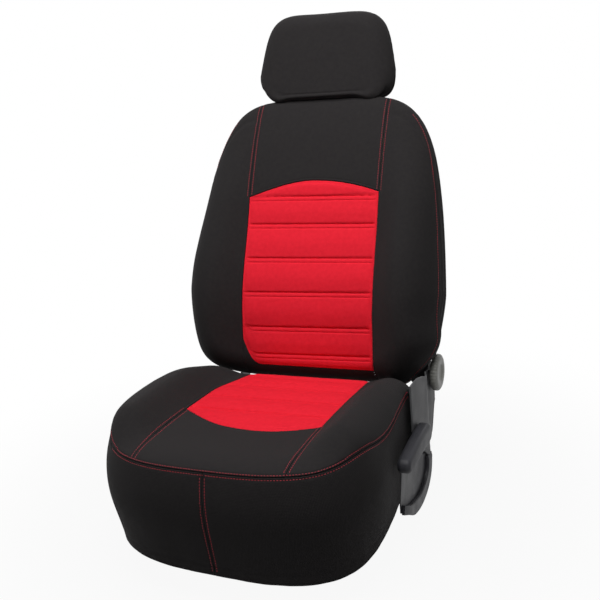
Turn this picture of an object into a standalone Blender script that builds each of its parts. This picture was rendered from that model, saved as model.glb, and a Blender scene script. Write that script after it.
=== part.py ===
"""A front vehicle seat wearing its sewn cover set.

The covers are separate padded panels over foam, on a steel frame with a recliner,
a height linkage and slide rails. Sizes are in millimetres until a mesh is written.
X runs across the seat, Y from its front edge to the rear, Z up from the floor.
"""

import math
from dataclasses import dataclass

import bmesh
import bpy
from mathutils import Matrix, Vector

MM = 0.001

# Clearance between pieces that touch, thickness of the sewn cover, room around foam
GAP = 0.35
COVER = 4.5
EASE = 9.0

# Cushion plan: half width, widest line, and its reach to the front and to the rear
SEAT_HALF = 262.0
SEAT_MID = 260.0
SEAT_FRONT = 275.0
SEAT_REAR = 222.0
SEAT_EDGE = 55.0
SEAT_ROWS = 14

# Cushion heights: front seam, crown over it, fall to the rear, side bolsters, and the
# skirt's hem over the slide carriage, askew at the front and drawn up to the rear
SEAT_SEAM = 266.0
SEAT_CROWN = 13.0
SEAT_FALL = 24.0
SEAT_BOLSTER = 38.0
HEM_CLEAR = 14.0
HEM_ASKEW = 10.0
HEM_RISE = 32.0
BELLY = 14.0
SKIRT_END = 392.0
SEAT_TUCK = 365.0
SKIRT_STEPS = 18

# Quilted inserts: half width, front bow on the cushion, arch on the backrest
INSERT_HALF = 149.0
SEAT_INSERT = 142.0
SEAT_BOW = 48.0
BACK_INSERT = 482.0
BACK_ARCH = 26.0
CHANNEL = 73.0
CHANNEL_WIDE = 12.0
CHANNEL_DEEP = 2.5

# Backrest: recline from upright, widest line, reach up and down, depths to the rear
RECLINE = math.radians(17.3)
BACK_HALF = SEAT_HALF + 26.0
BACK_Y = SEAT_MID + SEAT_REAR - 26.0
BACK_Z = SEAT_SEAM - 66.3
BACK_MID = 240.0
BACK_UP = 432.0
BACK_DOWN = 196.0
BACK_RIM = 60.0
BACK_REAR = 122.0
BACK_EDGE = 75.0
BACK_REAR_EDGE = 50.0
BACK_HEM = 118.0
LUMBAR = 24.0
BACK_BOLSTER = 40.0
BACK_LEAN = 28.0
BACK_ROWS = 16

# Headrest on the same up and rearward lines
HEAD_HALF = 157.0
HEAD_LIFT = 11.0
HEAD_DOWN = 51.0
HEAD_UP = 133.0
HEAD_RIM = 80.0
HEAD_FRONT = 42.0
HEAD_REAR = 41.0
HEAD_EDGE = 45.0
ROD_X = 70.0
ROD = 6.0
SLEEVE = 9.0
BUTTON = 3.0

# Slide rails and floor bars
RAIL_X = SEAT_HALF - 82.0
RAIL_WIDE = 48.0
RAIL_HIGH = 26.0
RAIL_WALL = 2.5
RAIL_FRONT = 175.0
RAIL_REAR = 640.0
CARRIAGE_FRONT = 262.0
CARRIAGE_REAR = 545.0
FOOT = 8.0
FLOOR_BAR = 46.0
CARRIAGE_TOP = 48.0

# Height linkage
LINK = 95.0
LINK_ANGLE = math.radians(25.0)
FRONT_LINK_Y = 285.0
REAR_LINK_Y = 520.0
LINK_Z = 66.0
LINK_TUBE = 8.0
LINK_PIN = 6.0

# Cushion frame, side plates outward from the rail line
BRACKET_T = 4.0
ARM_T = 5.0
MEMBER_T = 4.0
RECLINER_T = 10.0
BACK_MEMBER_T = 3.5
BRACKET_OUT = RAIL_X + BRACKET_T / 2
ARM_IN = BRACKET_OUT + GAP
ARM_OUT = ARM_IN + ARM_T
MEMBER_IN = ARM_OUT + GAP
MEMBER_OUT = MEMBER_IN + MEMBER_T
RECLINER_IN = MEMBER_OUT + GAP
RECLINER_OUT = RECLINER_IN + RECLINER_T
BACK_MEMBER_IN = RECLINER_OUT + GAP
PAN_Z = SEAT_SEAM - 114.0
PAN_REAR = 300.0
REAR_TUBE_Y = BACK_Y + 6.0
REAR_TUBE = 10.0

# Recliner axis in backrest coordinates, its discs, shaft and handwheel
HINGE_UP = 72.0
HINGE_BACK = 88.5
BOSS = 25.0
SHAFT = 5.0
WHEEL = 40.0
WHEEL_T = 16.0

# Side trims
TRIM_T = 3.0
TRIM_FRONT = 345.0
TRIM_REAR = 582.0
TRIM_OUT = SEAT_HALF + 9.0
TRIM_STEP = 15.0
INNER_TRIM_DROP = 30.0
LEVER_Y = 372.0
LEVER_Z = SEAT_SEAM - 78.0
LEVER_LONG = 152.0
LEVER_T = 27.0
LIP_HALF = 14.0
LIP_CLEAR = 1.0
LIP_SINK = 8.5
LIP_WEB = 3.0

SIDES = {"left": -1.0, "right": 1.0}


def smooth(t):
    """Ease from 0 to 1 while t runs from 0 to 1."""
    t = min(1.0, max(0.0, t))
    return t * t * (3.0 - 2.0 * t)


def mix(a, b, t):
    """Value at the fraction t of the way from a to b."""
    return a + (b - a) * t


def follow(stations, t):
    """Height of an eased line through a few (place, height) stations."""
    for (t0, a), (t1, b) in zip(stations, stations[1:]):
        if t <= t1:
            return mix(a, b, smooth((t - t0) / (t1 - t0)))
    return stations[-1][1]


@dataclass(frozen=True)
class Outline:
    """Rounded closed plan: a superellipse with its own reach and taper up and down."""

    half: float
    mid: float
    up: float
    down: float
    up_power: float
    down_power: float
    taper: float
    down_taper: float = 0.0

    def reach(self, x, s):
        """0 at the middle, 1 on the outline."""
        if s >= self.mid:
            t = (s - self.mid) / self.up
            half = self.half * (1.0 - self.taper * t)
            power = self.up_power
        else:
            t = (self.mid - s) / self.down
            half = self.half * (1.0 - self.down_taper * t)
            power = self.down_power
        return (abs(x / half) ** power + t**power) ** (1.0 / power)

    def out_to_edge(self, dx, ds):
        """Point on the outline in the direction (dx, ds) from the middle."""
        near = 0.0
        far = 3.0 * max(self.half, self.up, self.down) / math.hypot(dx, ds)
        for _ in range(60):
            k = (near + far) / 2.0
            if self.reach(dx * k, self.mid + ds * k) < 1.0:
                near = k
            else:
                far = k
        return dx * near, self.mid + ds * near

    def rim(self, degrees):
        """Point on the outline at an angle from +X about the middle."""
        turn = math.radians(degrees)
        return self.out_to_edge(math.cos(turn), math.sin(turn))

    def edge(self, x, up):
        """Place along the outline's length where it crosses x, above or below the middle."""
        near = 0.0
        far = self.up if up else self.down
        sign = 1.0 if up else -1.0
        for _ in range(60):
            k = (near + far) / 2.0
            if self.reach(x, self.mid + sign * k) < 1.0:
                near = k
            else:
                far = k
        return self.mid + sign * near

    def side(self, s):
        """Half width at s."""
        near = 0.0
        far = 2.0 * self.half
        for _ in range(60):
            k = (near + far) / 2.0
            if self.reach(k, s) < 1.0:
                near = k
            else:
                far = k
        return near

    def shrink(self, x, s, depth):
        """The same place drawn in by depth, all of it at the outline and less inside."""
        depth *= min(1.0, self.reach(x, s)) ** 4
        reach = self.up if s >= self.mid else self.down
        return x * (1.0 - depth / self.half), self.mid + (s - self.mid) * (1.0 - depth / reach)

    def rise(self, x, s, edge):
        """0 on the outline, 1 inside its rounded edge."""
        inside = (1.0 - self.reach(x, s)) * self.half / edge
        inside = min(1.0, max(0.0, inside))
        return math.sqrt(1.0 - (1.0 - inside) ** 2)

    def angle(self, x, s):
        """Angle in degrees of a place about the middle."""
        return math.degrees(math.atan2(s - self.mid, x))


SEAT = Outline(SEAT_HALF, SEAT_MID, SEAT_REAR, SEAT_FRONT, 9.0, 3.2, 0.046)
BACK = Outline(BACK_HALF, BACK_MID, BACK_UP, BACK_DOWN, 5.0, 5.5, 0.13, 0.1)
BACK_TOP = BACK_MID + BACK_UP
HEAD = Outline(
    HEAD_HALF, BACK_TOP + HEAD_LIFT + HEAD_DOWN, HEAD_UP, HEAD_DOWN, 5.0, 4.5, 0.15
)
HEM_Z = CARRIAGE_TOP + HEM_CLEAR


def seam_height(y):
    """Height of the cushion's edge seam along its side."""
    rise = 18.0 * smooth((y - 10.0) / 120.0)
    fall = 14.0 * smooth((y - 250.0) / 150.0)
    rear = SEAT_MID + SEAT_REAR
    tuck = 48.0 * smooth((y - SEAT_TUCK) / (rear - SEAT_TUCK))
    return SEAT_SEAM + rise - fall - tuck


def seat_face(x, y, depth, sink=0.0, draw=0.0):
    """Cushion top: seam height at the outline, crown and bolsters inside it."""
    back = max(0.0, (y - 110.0) / 360.0)
    crown = SEAT_SEAM + SEAT_CROWN - SEAT_FALL * back**1.6
    along = smooth((y - 20.0) / 100.0) * (1.0 - 0.55 * smooth((y - 300.0) / 160.0))
    bolster = SEAT_BOLSTER * along * smooth((abs(x) - INSERT_HALF + 9.0) / 70.0)
    seam = seam_height(y)
    level = crown + bolster - depth - sink
    z = seam + (level - seam) * SEAT.rise(x, y, SEAT_EDGE)
    x, y = SEAT.shrink(x, y, depth + draw)
    return Vector((x, y, z))


def hem_height(x, y):
    """Height of the skirt's hem, lower at the front on the right."""
    askew = HEM_ASKEW * x / SEAT_HALF * (1.0 - smooth((y - 40.0) / 120.0))
    return HEM_Z - askew + HEM_RISE * smooth((y - 90.0) / 230.0)


def skirt_face(x, y, level, depth):
    """Skirt wall: level 0 at the hem and 1 at the edge seam."""
    z = mix(hem_height(x, y), seam_height(y) - 2.0 * GAP, level)
    belly = BELLY * (1.0 - smooth((y - 120.0) / 150.0)) * math.sin(math.pi * level**1.5)
    x, y = SEAT.shrink(x, y, depth - belly)
    return Vector((x, y, z))


def on_back(x, s, b):
    """Backrest place (across, up the back, towards the rear) in the seat's frame."""
    y = BACK_Y + s * math.sin(RECLINE) + b * math.cos(RECLINE)
    z = BACK_Z + s * math.cos(RECLINE) - b * math.sin(RECLINE)
    return Vector((x, y, z))


def back_front(x, s):
    """Depth of the backrest's front: lumbar bulge, lean at the top and side bolsters."""
    lumbar = LUMBAR * math.exp(-(((s - 230.0) / 130.0) ** 2))
    lean = BACK_LEAN * smooth((s - 430.0) / 230.0)
    along = 1.0 - 0.9 * smooth((s - 300.0) / 280.0)
    bolster = BACK_BOLSTER * along * smooth((abs(x) - INSERT_HALF + 12.0) / 75.0)
    return lean - lumbar - bolster


def back_face(x, s, depth, sink=0.0, draw=0.0):
    """Front of the backrest, from the side seam to the insert."""
    rim = BACK_RIM - GAP
    level = back_front(x, s) + depth + sink
    b = rim + (level - rim) * BACK.rise(x, s, BACK_EDGE)
    x, s = BACK.shrink(x, s, depth + draw)
    return on_back(x, s, b)


def back_rear(x, s, depth):
    """Rear of the backrest, from the side seam to its flat middle."""
    rim = BACK_RIM + GAP
    b = rim + (BACK_REAR - depth - rim) * BACK.rise(x, s, BACK_REAR_EDGE)
    x, s = BACK.shrink(x, s, depth)
    return on_back(x, s, b)


def head_face(x, s, depth, toward, draw=0.0):
    """Front (toward -1) or rear (toward 1) of the headrest."""
    rim = HEAD_RIM + toward * GAP
    swell = HEAD_FRONT - 10.0 * (x / HEAD_HALF) ** 2 if toward < 0 else HEAD_REAR
    b = rim + toward * (swell - depth) * HEAD.rise(x, s, HEAD_EDGE)
    x, s = HEAD.shrink(x, s, depth + draw)
    return on_back(x, s, b)


def trim_out(y):
    """Outer face of a side trim: stepped in beside the recliner."""
    return TRIM_OUT - TRIM_STEP * (1.0 - smooth((520.0 - y) / 60.0))


def trim_top(y, side):
    """Upper edge of a side trim, lower on the left."""
    line = ((TRIM_FRONT, 18.0), (430.0, 14.0), (490.0, 0.0), (540.0, -10.0), (TRIM_REAR, -40.0))
    drop = INNER_TRIM_DROP if side < 0.0 else 0.0
    return SEAT_SEAM + follow(line, y) - drop


def trim_bottom(y):
    """Lower edge of a side trim."""
    line = ((TRIM_FRONT, -95.0), (400.0, -135.0), (470.0, -172.0), (540.0, -160.0))
    line += ((TRIM_REAR, -97.0),)
    return SEAT_SEAM + follow(line, y)


def circle(y, z, radius, count=16):
    """Corners of a round hole that clears the given radius."""
    out = radius / math.cos(math.pi / count)
    turns = [2.0 * math.pi * i / count for i in range(count)]
    return [(y + out * math.cos(t), z + out * math.sin(t)) for t in turns]


def arc(y, z, radius, start, end, count=6):
    """Points on an arc, in degrees from +Y towards +Z."""
    turns = [math.radians(mix(start, end, i / count)) for i in range(count + 1)]
    return [(y + radius * math.cos(t), z + radius * math.sin(t)) for t in turns]


class Body:
    """One moving group: an empty on its joint axis that carries its pieces."""

    def __init__(self, name, pivot, parent=None):
        self.pivot = Vector(pivot)
        self.empty = bpy.data.objects.new(name, None)
        self.empty.empty_display_size = 0.03
        home.objects.link(self.empty)
        base = parent.pivot if parent else Vector((0.0, 0.0, 0.0))
        self.empty.parent = parent.empty if parent else None
        self.empty.location = (self.pivot - base) * MM

    def take(self, obj):
        """Carry an object whose mesh is in the seat's frame."""
        obj.data.transform(Matrix.Translation(-self.pivot * MM))
        obj.parent = self.empty
        return obj


def finish_material(name, colour, roughness, metallic=0.0):
    """Plain principled material."""
    material = bpy.data.materials.new(name)
    material.use_nodes = True
    shader = material.node_tree.nodes["Principled BSDF"]
    shader.inputs["Base Color"].default_value = (*colour, 1.0)
    shader.inputs["Roughness"].default_value = roughness
    shader.inputs["Metallic"].default_value = metallic
    material.diffuse_color = (*colour, 1.0)
    return material


def add_mesh(name, bm, body, material):
    """Write a bmesh as a named piece of a body."""
    bmesh.ops.recalc_face_normals(bm, faces=bm.faces[:])
    if bm.calc_volume(signed=True) < 0.0:
        bmesh.ops.reverse_faces(bm, faces=bm.faces[:])
    mesh = bpy.data.meshes.new(name)
    bm.to_mesh(mesh)
    bm.free()
    obj = bpy.data.objects.new(name, mesh)
    home.objects.link(obj)
    mesh.materials.append(material)
    return body.take(obj)


def add_curve(name, curve, body, material, matrix=None):
    """Turn a curve into a welded mesh piece of a body."""
    draft = bpy.data.objects.new(name + "_draft", curve)
    bpy.context.scene.collection.objects.link(draft)
    view = bpy.context.evaluated_depsgraph_get()
    mesh = bpy.data.meshes.new_from_object(draft.evaluated_get(view))
    bpy.data.objects.remove(draft)
    bm = bmesh.new()
    bm.from_mesh(mesh)
    bpy.data.meshes.remove(mesh)
    bmesh.ops.remove_doubles(bm, verts=bm.verts[:], dist=1e-6)
    if matrix is not None:
        bmesh.ops.transform(bm, matrix=matrix, verts=bm.verts[:])
    return add_mesh(name, bm, body, material)


def panel(name, size, plan, face, inside, body, material):
    """Padded sheet: a grid laid out by plan, shaped by face and closed by inside."""
    bm = bmesh.new()
    bmesh.ops.create_grid(bm, x_segments=size[0], y_segments=size[1], size=0.5)
    made = bmesh.ops.extrude_face_region(bm, geom=bm.faces[:])
    inner = {v for v in made["geom"] if isinstance(v, bmesh.types.BMVert)}
    for vert in bm.verts:
        place = plan(vert.co.x + 0.5, vert.co.y + 0.5)
        vert.co = (inside if vert in inner else face)(*place) * MM
    return add_mesh(name, bm, body, material)


def plate(name, outlines, x_from, x_to, body, material):
    """Flat piece in the YZ plane between two X planes, later outlines are holes."""
    curve = bpy.data.curves.new(name, "CURVE")
    curve.dimensions = "2D"
    curve.fill_mode = "BOTH"
    curve.extrude = abs(x_to - x_from) / 2.0 * MM
    for points in outlines:
        spline = curve.splines.new("POLY")
        spline.points.add(len(points) - 1)
        spline.use_cyclic_u = True
        for point, (y, z) in zip(spline.points, points):
            point.co = (y * MM, z * MM, 0.0, 1.0)
    middle = (x_from + x_to) / 2.0 * MM
    stand = Matrix(((0, 0, 1, middle), (1, 0, 0, 0), (0, 1, 0, 0), (0, 0, 0, 1)))
    return add_curve(name, curve, body, material, stand)


def beam(name, profiles, y_from, y_to, body, material):
    """Straight section drawn in the XZ plane and extruded along Y."""
    curve = bpy.data.curves.new(name, "CURVE")
    curve.dimensions = "2D"
    curve.fill_mode = "BOTH"
    curve.extrude = (y_to - y_from) / 2.0 * MM
    for points in profiles:
        spline = curve.splines.new("POLY")
        spline.points.add(len(points) - 1)
        spline.use_cyclic_u = True
        for point, (x, z) in zip(spline.points, points):
            point.co = (x * MM, z * MM, 0.0, 1.0)
    middle = (y_from + y_to) / 2.0 * MM
    stand = Matrix(((1, 0, 0, 0), (0, 0, -1, middle), (0, 1, 0, 0), (0, 0, 0, 1)))
    return add_curve(name, curve, body, material, stand)


def tubes(name, paths, radius, body, material, rounds=2):
    """Round bar or wire along each path, with closed ends."""
    curve = bpy.data.curves.new(name, "CURVE")
    curve.dimensions = "3D"
    curve.bevel_depth = radius * MM
    curve.bevel_resolution = rounds
    curve.use_fill_caps = True
    for path in paths:
        spline = curve.splines.new("POLY")
        spline.points.add(len(path) - 1)
        for point, place in zip(spline.points, path):
            point.co = (*(Vector(place) * MM), 1.0)
    return add_curve(name, curve, body, material)


def turned(name, profile, axis, body, material, steps):
    """Closed (radius, along) profile turned about an axis given as (base, direction)."""
    base, direction = axis
    mesh = bpy.data.meshes.new(name)
    count = len(profile)
    points = [(r * MM, 0.0, h * MM) for r, h in profile]
    closed = min(r for r, _ in profile) > 0.0
    edges = [(i, i + 1) for i in range(count - 1)]
    if closed:
        edges.append((count - 1, 0))
    mesh.from_pydata(points, edges, [])
    draft = bpy.data.objects.new(name + "_draft", mesh)
    bpy.context.scene.collection.objects.link(draft)
    screw = draft.modifiers.new("turn", "SCREW")
    screw.steps = steps
    screw.render_steps = steps
    screw.use_merge_vertices = True
    screw.merge_threshold = 0.00001
    view = bpy.context.evaluated_depsgraph_get()
    solid = bpy.data.meshes.new_from_object(draft.evaluated_get(view))
    bpy.data.objects.remove(draft)
    bm = bmesh.new()
    bm.from_mesh(solid)
    bpy.data.meshes.remove(solid)
    bmesh.ops.remove_doubles(bm, verts=bm.verts[:], dist=1e-6)
    turn = Vector((0, 0, 1)).rotation_difference(Vector(direction)).to_matrix().to_4x4()
    place = Matrix.Translation(Vector(base) * MM) @ turn
    bmesh.ops.transform(bm, matrix=place, verts=bm.verts[:])
    return add_mesh(name, bm, body, material)


def cut(obj, cutter):
    """Take a cutter's volume out of a piece."""
    cutter.display_type = "WIRE"
    cutter.hide_render = True
    for group in cutter.users_collection:
        group.objects.unlink(cutter)
    cutters.objects.link(cutter)
    step = obj.modifiers.new("cut", "BOOLEAN")
    step.operation = "DIFFERENCE"
    step.solver = "EXACT"
    step.object = cutter


def spread(t):
    """Rows drawn close to both ends."""
    return (1.0 - math.cos(math.pi * t)) / 2.0


def lean_out(t):
    """Rows drawn close to the far end."""
    return math.sin(math.pi * t / 2.0)


def patch(p, q, left, right, bottom, top):
    """Plan place inside four meeting border lines."""
    lines = [
        (1.0 - p, left(q)),
        (p, right(q)),
        (1.0 - q, bottom(p)),
        (q, top(p)),
        (-(1.0 - p) * (1.0 - q), bottom(0.0)),
        (-p * (1.0 - q), bottom(1.0)),
        (-(1.0 - p) * q, top(0.0)),
        (-p * q, top(1.0)),
    ]
    return sum(k * at[0] for k, at in lines), sum(k * at[1] for k, at in lines)


def round_plan(outline):
    """Square grid spread over the whole outline, close together at its edge."""

    def plan(u, v):
        a = 2.0 * u - 1.0
        b = 2.0 * v - 1.0
        far = max(abs(a), abs(b))
        if far < 1e-6:
            return 0.0, outline.mid
        reach = outline.up if b > 0.0 else outline.down
        x, s = outline.out_to_edge(a * outline.half, b * reach)
        k = lean_out(far)
        return x * k, outline.mid + (s - outline.mid) * k

    return plan


def side_plan(outline, inner, corners, side):
    """Side panel between the insert seam and the outline, on one side."""
    start = outline.edge(inner, False)
    end = outline.edge(inner, True)
    first = outline.angle(inner, start)
    last = outline.angle(inner, end)

    def plan(u, v):
        p = lean_out(u)
        q = spread(v)
        x, s = patch(
            p,
            q,
            lambda t: (inner, mix(start, end, t)),
            lambda t: outline.rim(mix(corners[0], corners[1], t)),
            lambda t: outline.rim(mix(first, corners[0], t)),
            lambda t: outline.rim(mix(last, corners[1], t)),
        )
        return side * x, s

    return plan


def channel_rows(start, end, centres):
    """Row places from start to end with four rows at each stitched channel."""
    half = CHANNEL_WIDE / 2.0
    rows = []
    for centre in sorted(centres):
        rows += [centre - half, centre - half / 2.0, centre + half / 2.0, centre + half]
    crowns = [(a + b) / 2.0 for a, b in zip(rows[3::4], rows[4::4])]
    return sorted([start, end] + rows + crowns)


def channel_sink(place, centres):
    """Depth of the stitched channels at a place along an insert."""
    off = min(abs(place - centre) for centre in centres)
    return CHANNEL_DEEP * (1.0 - smooth((off - CHANNEL_WIDE / 4.0) / (CHANNEL_WIDE / 4.0)))


def seat_covers(body):
    """Cushion cover: insert, front panel, bolsters and the two skirt halves."""
    front_line = SEAT_INSERT + SEAT_BOW
    centres = [front_line + CHANNEL * (k + 0.4) for k in range(4)]
    start = SEAT.edge(INSERT_HALF, False)
    end = SEAT.edge(INSERT_HALF, True)
    rear = [mix(start, end, spread(1.0 - k / SEAT_ROWS)) for k in (2, 1)]
    rows = channel_rows(0.0, 1.0, centres)[2:]
    rows = [0.0] + [r for r in rows if r > front_line] + rear + [0.0]
    half = INSERT_HALF - GAP

    def bow(x):
        return SEAT_INSERT + SEAT_BOW * (x / INSERT_HALF) ** 2

    def insert_plan(u, v):
        x = mix(-half, half, u)
        row = round(v * (len(rows) - 1))
        y = rows[row]
        if row == 0:
            y = bow(x) + GAP
        if row == len(rows) - 1:
            y = SEAT.edge(x, True)
        return x, y

    panel(
        "seat_insert",
        (6, len(rows) - 1),
        insert_plan,
        lambda x, y: seat_face(x, y, 0.0, channel_sink(y, centres)),
        lambda x, y: seat_face(x, y, COVER),
        body,
        red_cloth,
    )

    def front_plan(u, v):
        x = mix(-half, half, u)
        y = mix(bow(x) - GAP, SEAT.edge(x, False), lean_out(v))
        return x, y

    panel(
        "seat_front_panel",
        (6, 7),
        front_plan,
        lambda x, y: seat_face(x, y, 0.0),
        lambda x, y: seat_face(x, y, COVER),
        body,
        black_cloth,
    )
    for name, side in SIDES.items():
        panel(
            f"seat_bolster_{name}",
            (7, SEAT_ROWS),
            side_plan(SEAT, INSERT_HALF + GAP, (-40.0, 36.0), side),
            lambda x, y: seat_face(x, y, 0.0),
            lambda x, y: seat_face(x, y, COVER),
            body,
            black_cloth,
        )
        panel(
            f"seat_skirt_{name}",
            (SKIRT_STEPS, 5),
            lambda u, v, side=side: (*skirt_line(u, side), v),
            lambda x, y, level: skirt_face(x, y, level, 0.0),
            lambda x, y, level: skirt_face(x, y, level, COVER),
            body,
            black_cloth,
        )


def skirt_line(t, side):
    """Plan place along one half of the skirt, from its centre seam to its rear end."""
    end = SEAT.angle(SEAT.side(SKIRT_END), SKIRT_END)
    start = -90.0 + math.degrees(GAP / SEAT_FRONT)
    x, y = SEAT.rim(mix(start, end, t))
    return side * x, y


def seat_fixings(body):
    """Elastic cord in the hem, and the straps that draw the hem together."""
    cord = 2.5
    inset = COVER + GAP + cord
    path = []
    for name, side in SIDES.items():
        half = [skirt_line(k / SKIRT_STEPS, side) for k in range(SKIRT_STEPS + 1)]
        run = []
        for x, y in half:
            run.append(Vector((*SEAT.shrink(x, y, inset), hem_height(x, y) + cord + 1.0)))
        path += run[::-1] if side < 0 else run
    tubes("hem_elastic", [path], cord, body, elastic, 1)
    half = 8.0
    # Both straps stay clear of the lift arms, which swing down as the cushion rises
    for name, y in (("front", link_top(FRONT_LINK_Y)[0] - 14.0), ("rear", FRONT_LINK_Y + 39.0)):
        middle = hem_height(0.0, y) + cord + 2.0
        side = min(SEAT.side(y - half), SEAT.side(y + half))
        end = SEAT.shrink(side, y, inset)[0] - cord - GAP
        low = Vector((-end, y - half, middle - 0.8))
        high = Vector((end, y + half, middle + 0.8))
        slab(f"under_strap_{name}", low, high, body, elastic)


def slab(name, low, high, body, material):
    """Flat bar between two opposite corners."""
    bm = bmesh.new()
    place = Matrix.Translation((low + high) / 2.0 * MM)
    size = Matrix.Diagonal(((high - low) * MM).to_4d())
    size[3][3] = 1.0
    bmesh.ops.create_cube(bm, size=1.0, matrix=place @ size)
    add_mesh(name, bm, body, material)


def back_covers(body):
    """Backrest cover: insert, yoke, bolsters and rear panel."""
    centres = [BACK_INSERT - BACK_ARCH - 1.0 - CHANNEL * k for k in range(6)]
    rows = channel_rows(0.0, 1.0, centres)[2:]
    start = BACK.edge(INSERT_HALF, False)
    end = BACK.edge(INSERT_HALF, True)
    low = [mix(start, end, spread(k / BACK_ROWS)) for k in (1, 2)]
    rows = [0.0] + low + [min(centres) - CHANNEL_WIDE] + rows[:-1] + [0.0]
    half = INSERT_HALF - GAP

    def arch(x):
        return BACK_INSERT - BACK_ARCH * (x / INSERT_HALF) ** 2

    def insert_plan(u, v):
        x = mix(-half, half, u)
        row = round(v * (len(rows) - 1))
        left = len(rows) - 1 - row
        s = min(rows[row], arch(x) - GAP - 2.0 * left)
        if row == 0:
            s = BACK.edge(x, False)
        if left == 0:
            s = arch(x) - GAP
        return x, s

    panel(
        "back_insert",
        (6, len(rows) - 1),
        insert_plan,
        lambda x, s: back_face(x, s, 0.0, channel_sink(s, centres)),
        lambda x, s: back_face(x, s, COVER),
        body,
        red_cloth,
    )

    def yoke_plan(u, v):
        x = mix(-half, half, u)
        return x, mix(arch(x) + GAP, BACK.edge(x, True), lean_out(v))

    panel(
        "back_yoke",
        (6, 8),
        yoke_plan,
        lambda x, s: back_face(x, s, 0.0),
        lambda x, s: back_face(x, s, COVER),
        body,
        black_cloth,
    )
    for name, side in SIDES.items():
        panel(
            f"back_bolster_{name}",
            (8, BACK_ROWS),
            side_plan(BACK, INSERT_HALF + GAP, (-36.0, 60.0), side),
            lambda x, s: back_face(x, s, 0.0),
            lambda x, s: back_face(x, s, COVER),
            body,
            black_cloth,
        )
    low = BACK.angle(BACK.side(BACK_HEM), BACK_HEM)
    wide = BACK.side(BACK_HEM)

    def rear_plan(u, v):
        return patch(
            spread(u),
            lean_out(v),
            lambda t: BACK.rim(mix(180.0 - low, 120.0, t)),
            lambda t: BACK.rim(mix(low, 60.0, t)),
            lambda t: (mix(-wide, wide, t), BACK_HEM),
            lambda t: BACK.rim(mix(120.0, 60.0, t)),
        )

    rear = panel(
        "back_rear_panel",
        (12, 12),
        rear_plan,
        lambda x, s: back_rear(x, s, 0.0),
        lambda x, s: back_rear(x, s, COVER),
        body,
        black_cloth,
    )
    for name, side in SIDES.items():
        hole = tubes(
            f"rear_panel_hole_{name}",
            [[on_back(side * ROD_X, BACK_TOP - 60.0, HEAD_RIM),
              on_back(side * ROD_X, BACK_TOP + 15.0, HEAD_RIM)]],
            SLEEVE + 2.0 * GAP,
            body,
            plastic,
            3,
        )
        cut(rear, hole)


def head_parts(body):
    """Headrest cover halves, foam and support rod."""
    rod_path = rod_line()
    halves = []
    for name, toward in (("front", -1.0), ("rear", 1.0)):
        halves.append(
            panel(
                f"headrest_{name}_panel",
                (10, 10),
                round_plan(HEAD),
                lambda x, s, t=toward: head_face(x, s, 0.0, t),
                lambda x, s, t=toward: head_face(x, s, COVER, t),
                body,
                black_cloth,
            )
        )
    inner = COVER + EASE
    foam = panel(
        "headrest_foam",
        (8, 8),
        round_plan(HEAD),
        lambda x, s: head_face(x, s, inner, -1.0, EASE),
        lambda x, s: head_face(x, s, inner, 1.0, EASE),
        body,
        foam_pad,
    )
    tubes("headrest_rod", [rod_path], ROD, body, chrome, 3)
    clear = tubes("headrest_rod_space", [rod_path], ROD + 2.0 * GAP, body, plastic, 3)
    for piece in halves + [foam]:
        cut(piece, clear)


def rod_line():
    """Bent support rod: two legs joined by an arched top."""
    low = BACK_TOP - 140.0
    high = HEAD.mid + 40.0
    bend = 30.0
    corners = [(-ROD_X + bend, high - bend, 180.0), (ROD_X - bend, high - bend, 90.0)]
    path = [on_back(-ROD_X, low, HEAD_RIM)]
    for x, s, turn in corners:
        for k in range(6):
            a = math.radians(turn - 90.0 * k / 5.0)
            path.append(on_back(x + bend * math.cos(a), s + bend * math.sin(a), HEAD_RIM))
    return path + [on_back(ROD_X, low, HEAD_RIM)]


def foams(seat, back):
    """Cushion and backrest foam, flat where they meet the frame."""
    inner = COVER + EASE

    def seat_base(x, y):
        x, y = SEAT.shrink(x, y, inner + EASE)
        return Vector((x, y, PAN_Z + GAP))

    def seat_top(x, y):
        loose = max(smooth((abs(x) - 60.0) / 70.0), smooth((200.0 - y) / 60.0))
        loose = max(loose, smooth((y - 390.0) / 50.0))
        return seat_face(x, y, mix(COVER + 2.0 * GAP, inner, loose), 0.0, EASE)

    panel(
        "seat_foam",
        (18, 14),
        round_plan(SEAT),
        seat_top,
        seat_base,
        seat,
        foam_pad,
    )

    def back_base(x, s):
        x, s = BACK.shrink(x, s, inner + EASE)
        return on_back(x, s, BACK_RIM + 2.0)

    panel(
        "back_foam",
        (18, 14),
        round_plan(BACK),
        lambda x, s: back_face(x, s, inner, 0.0, EASE),
        back_base,
        back,
        foam_pad,
    )


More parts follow.
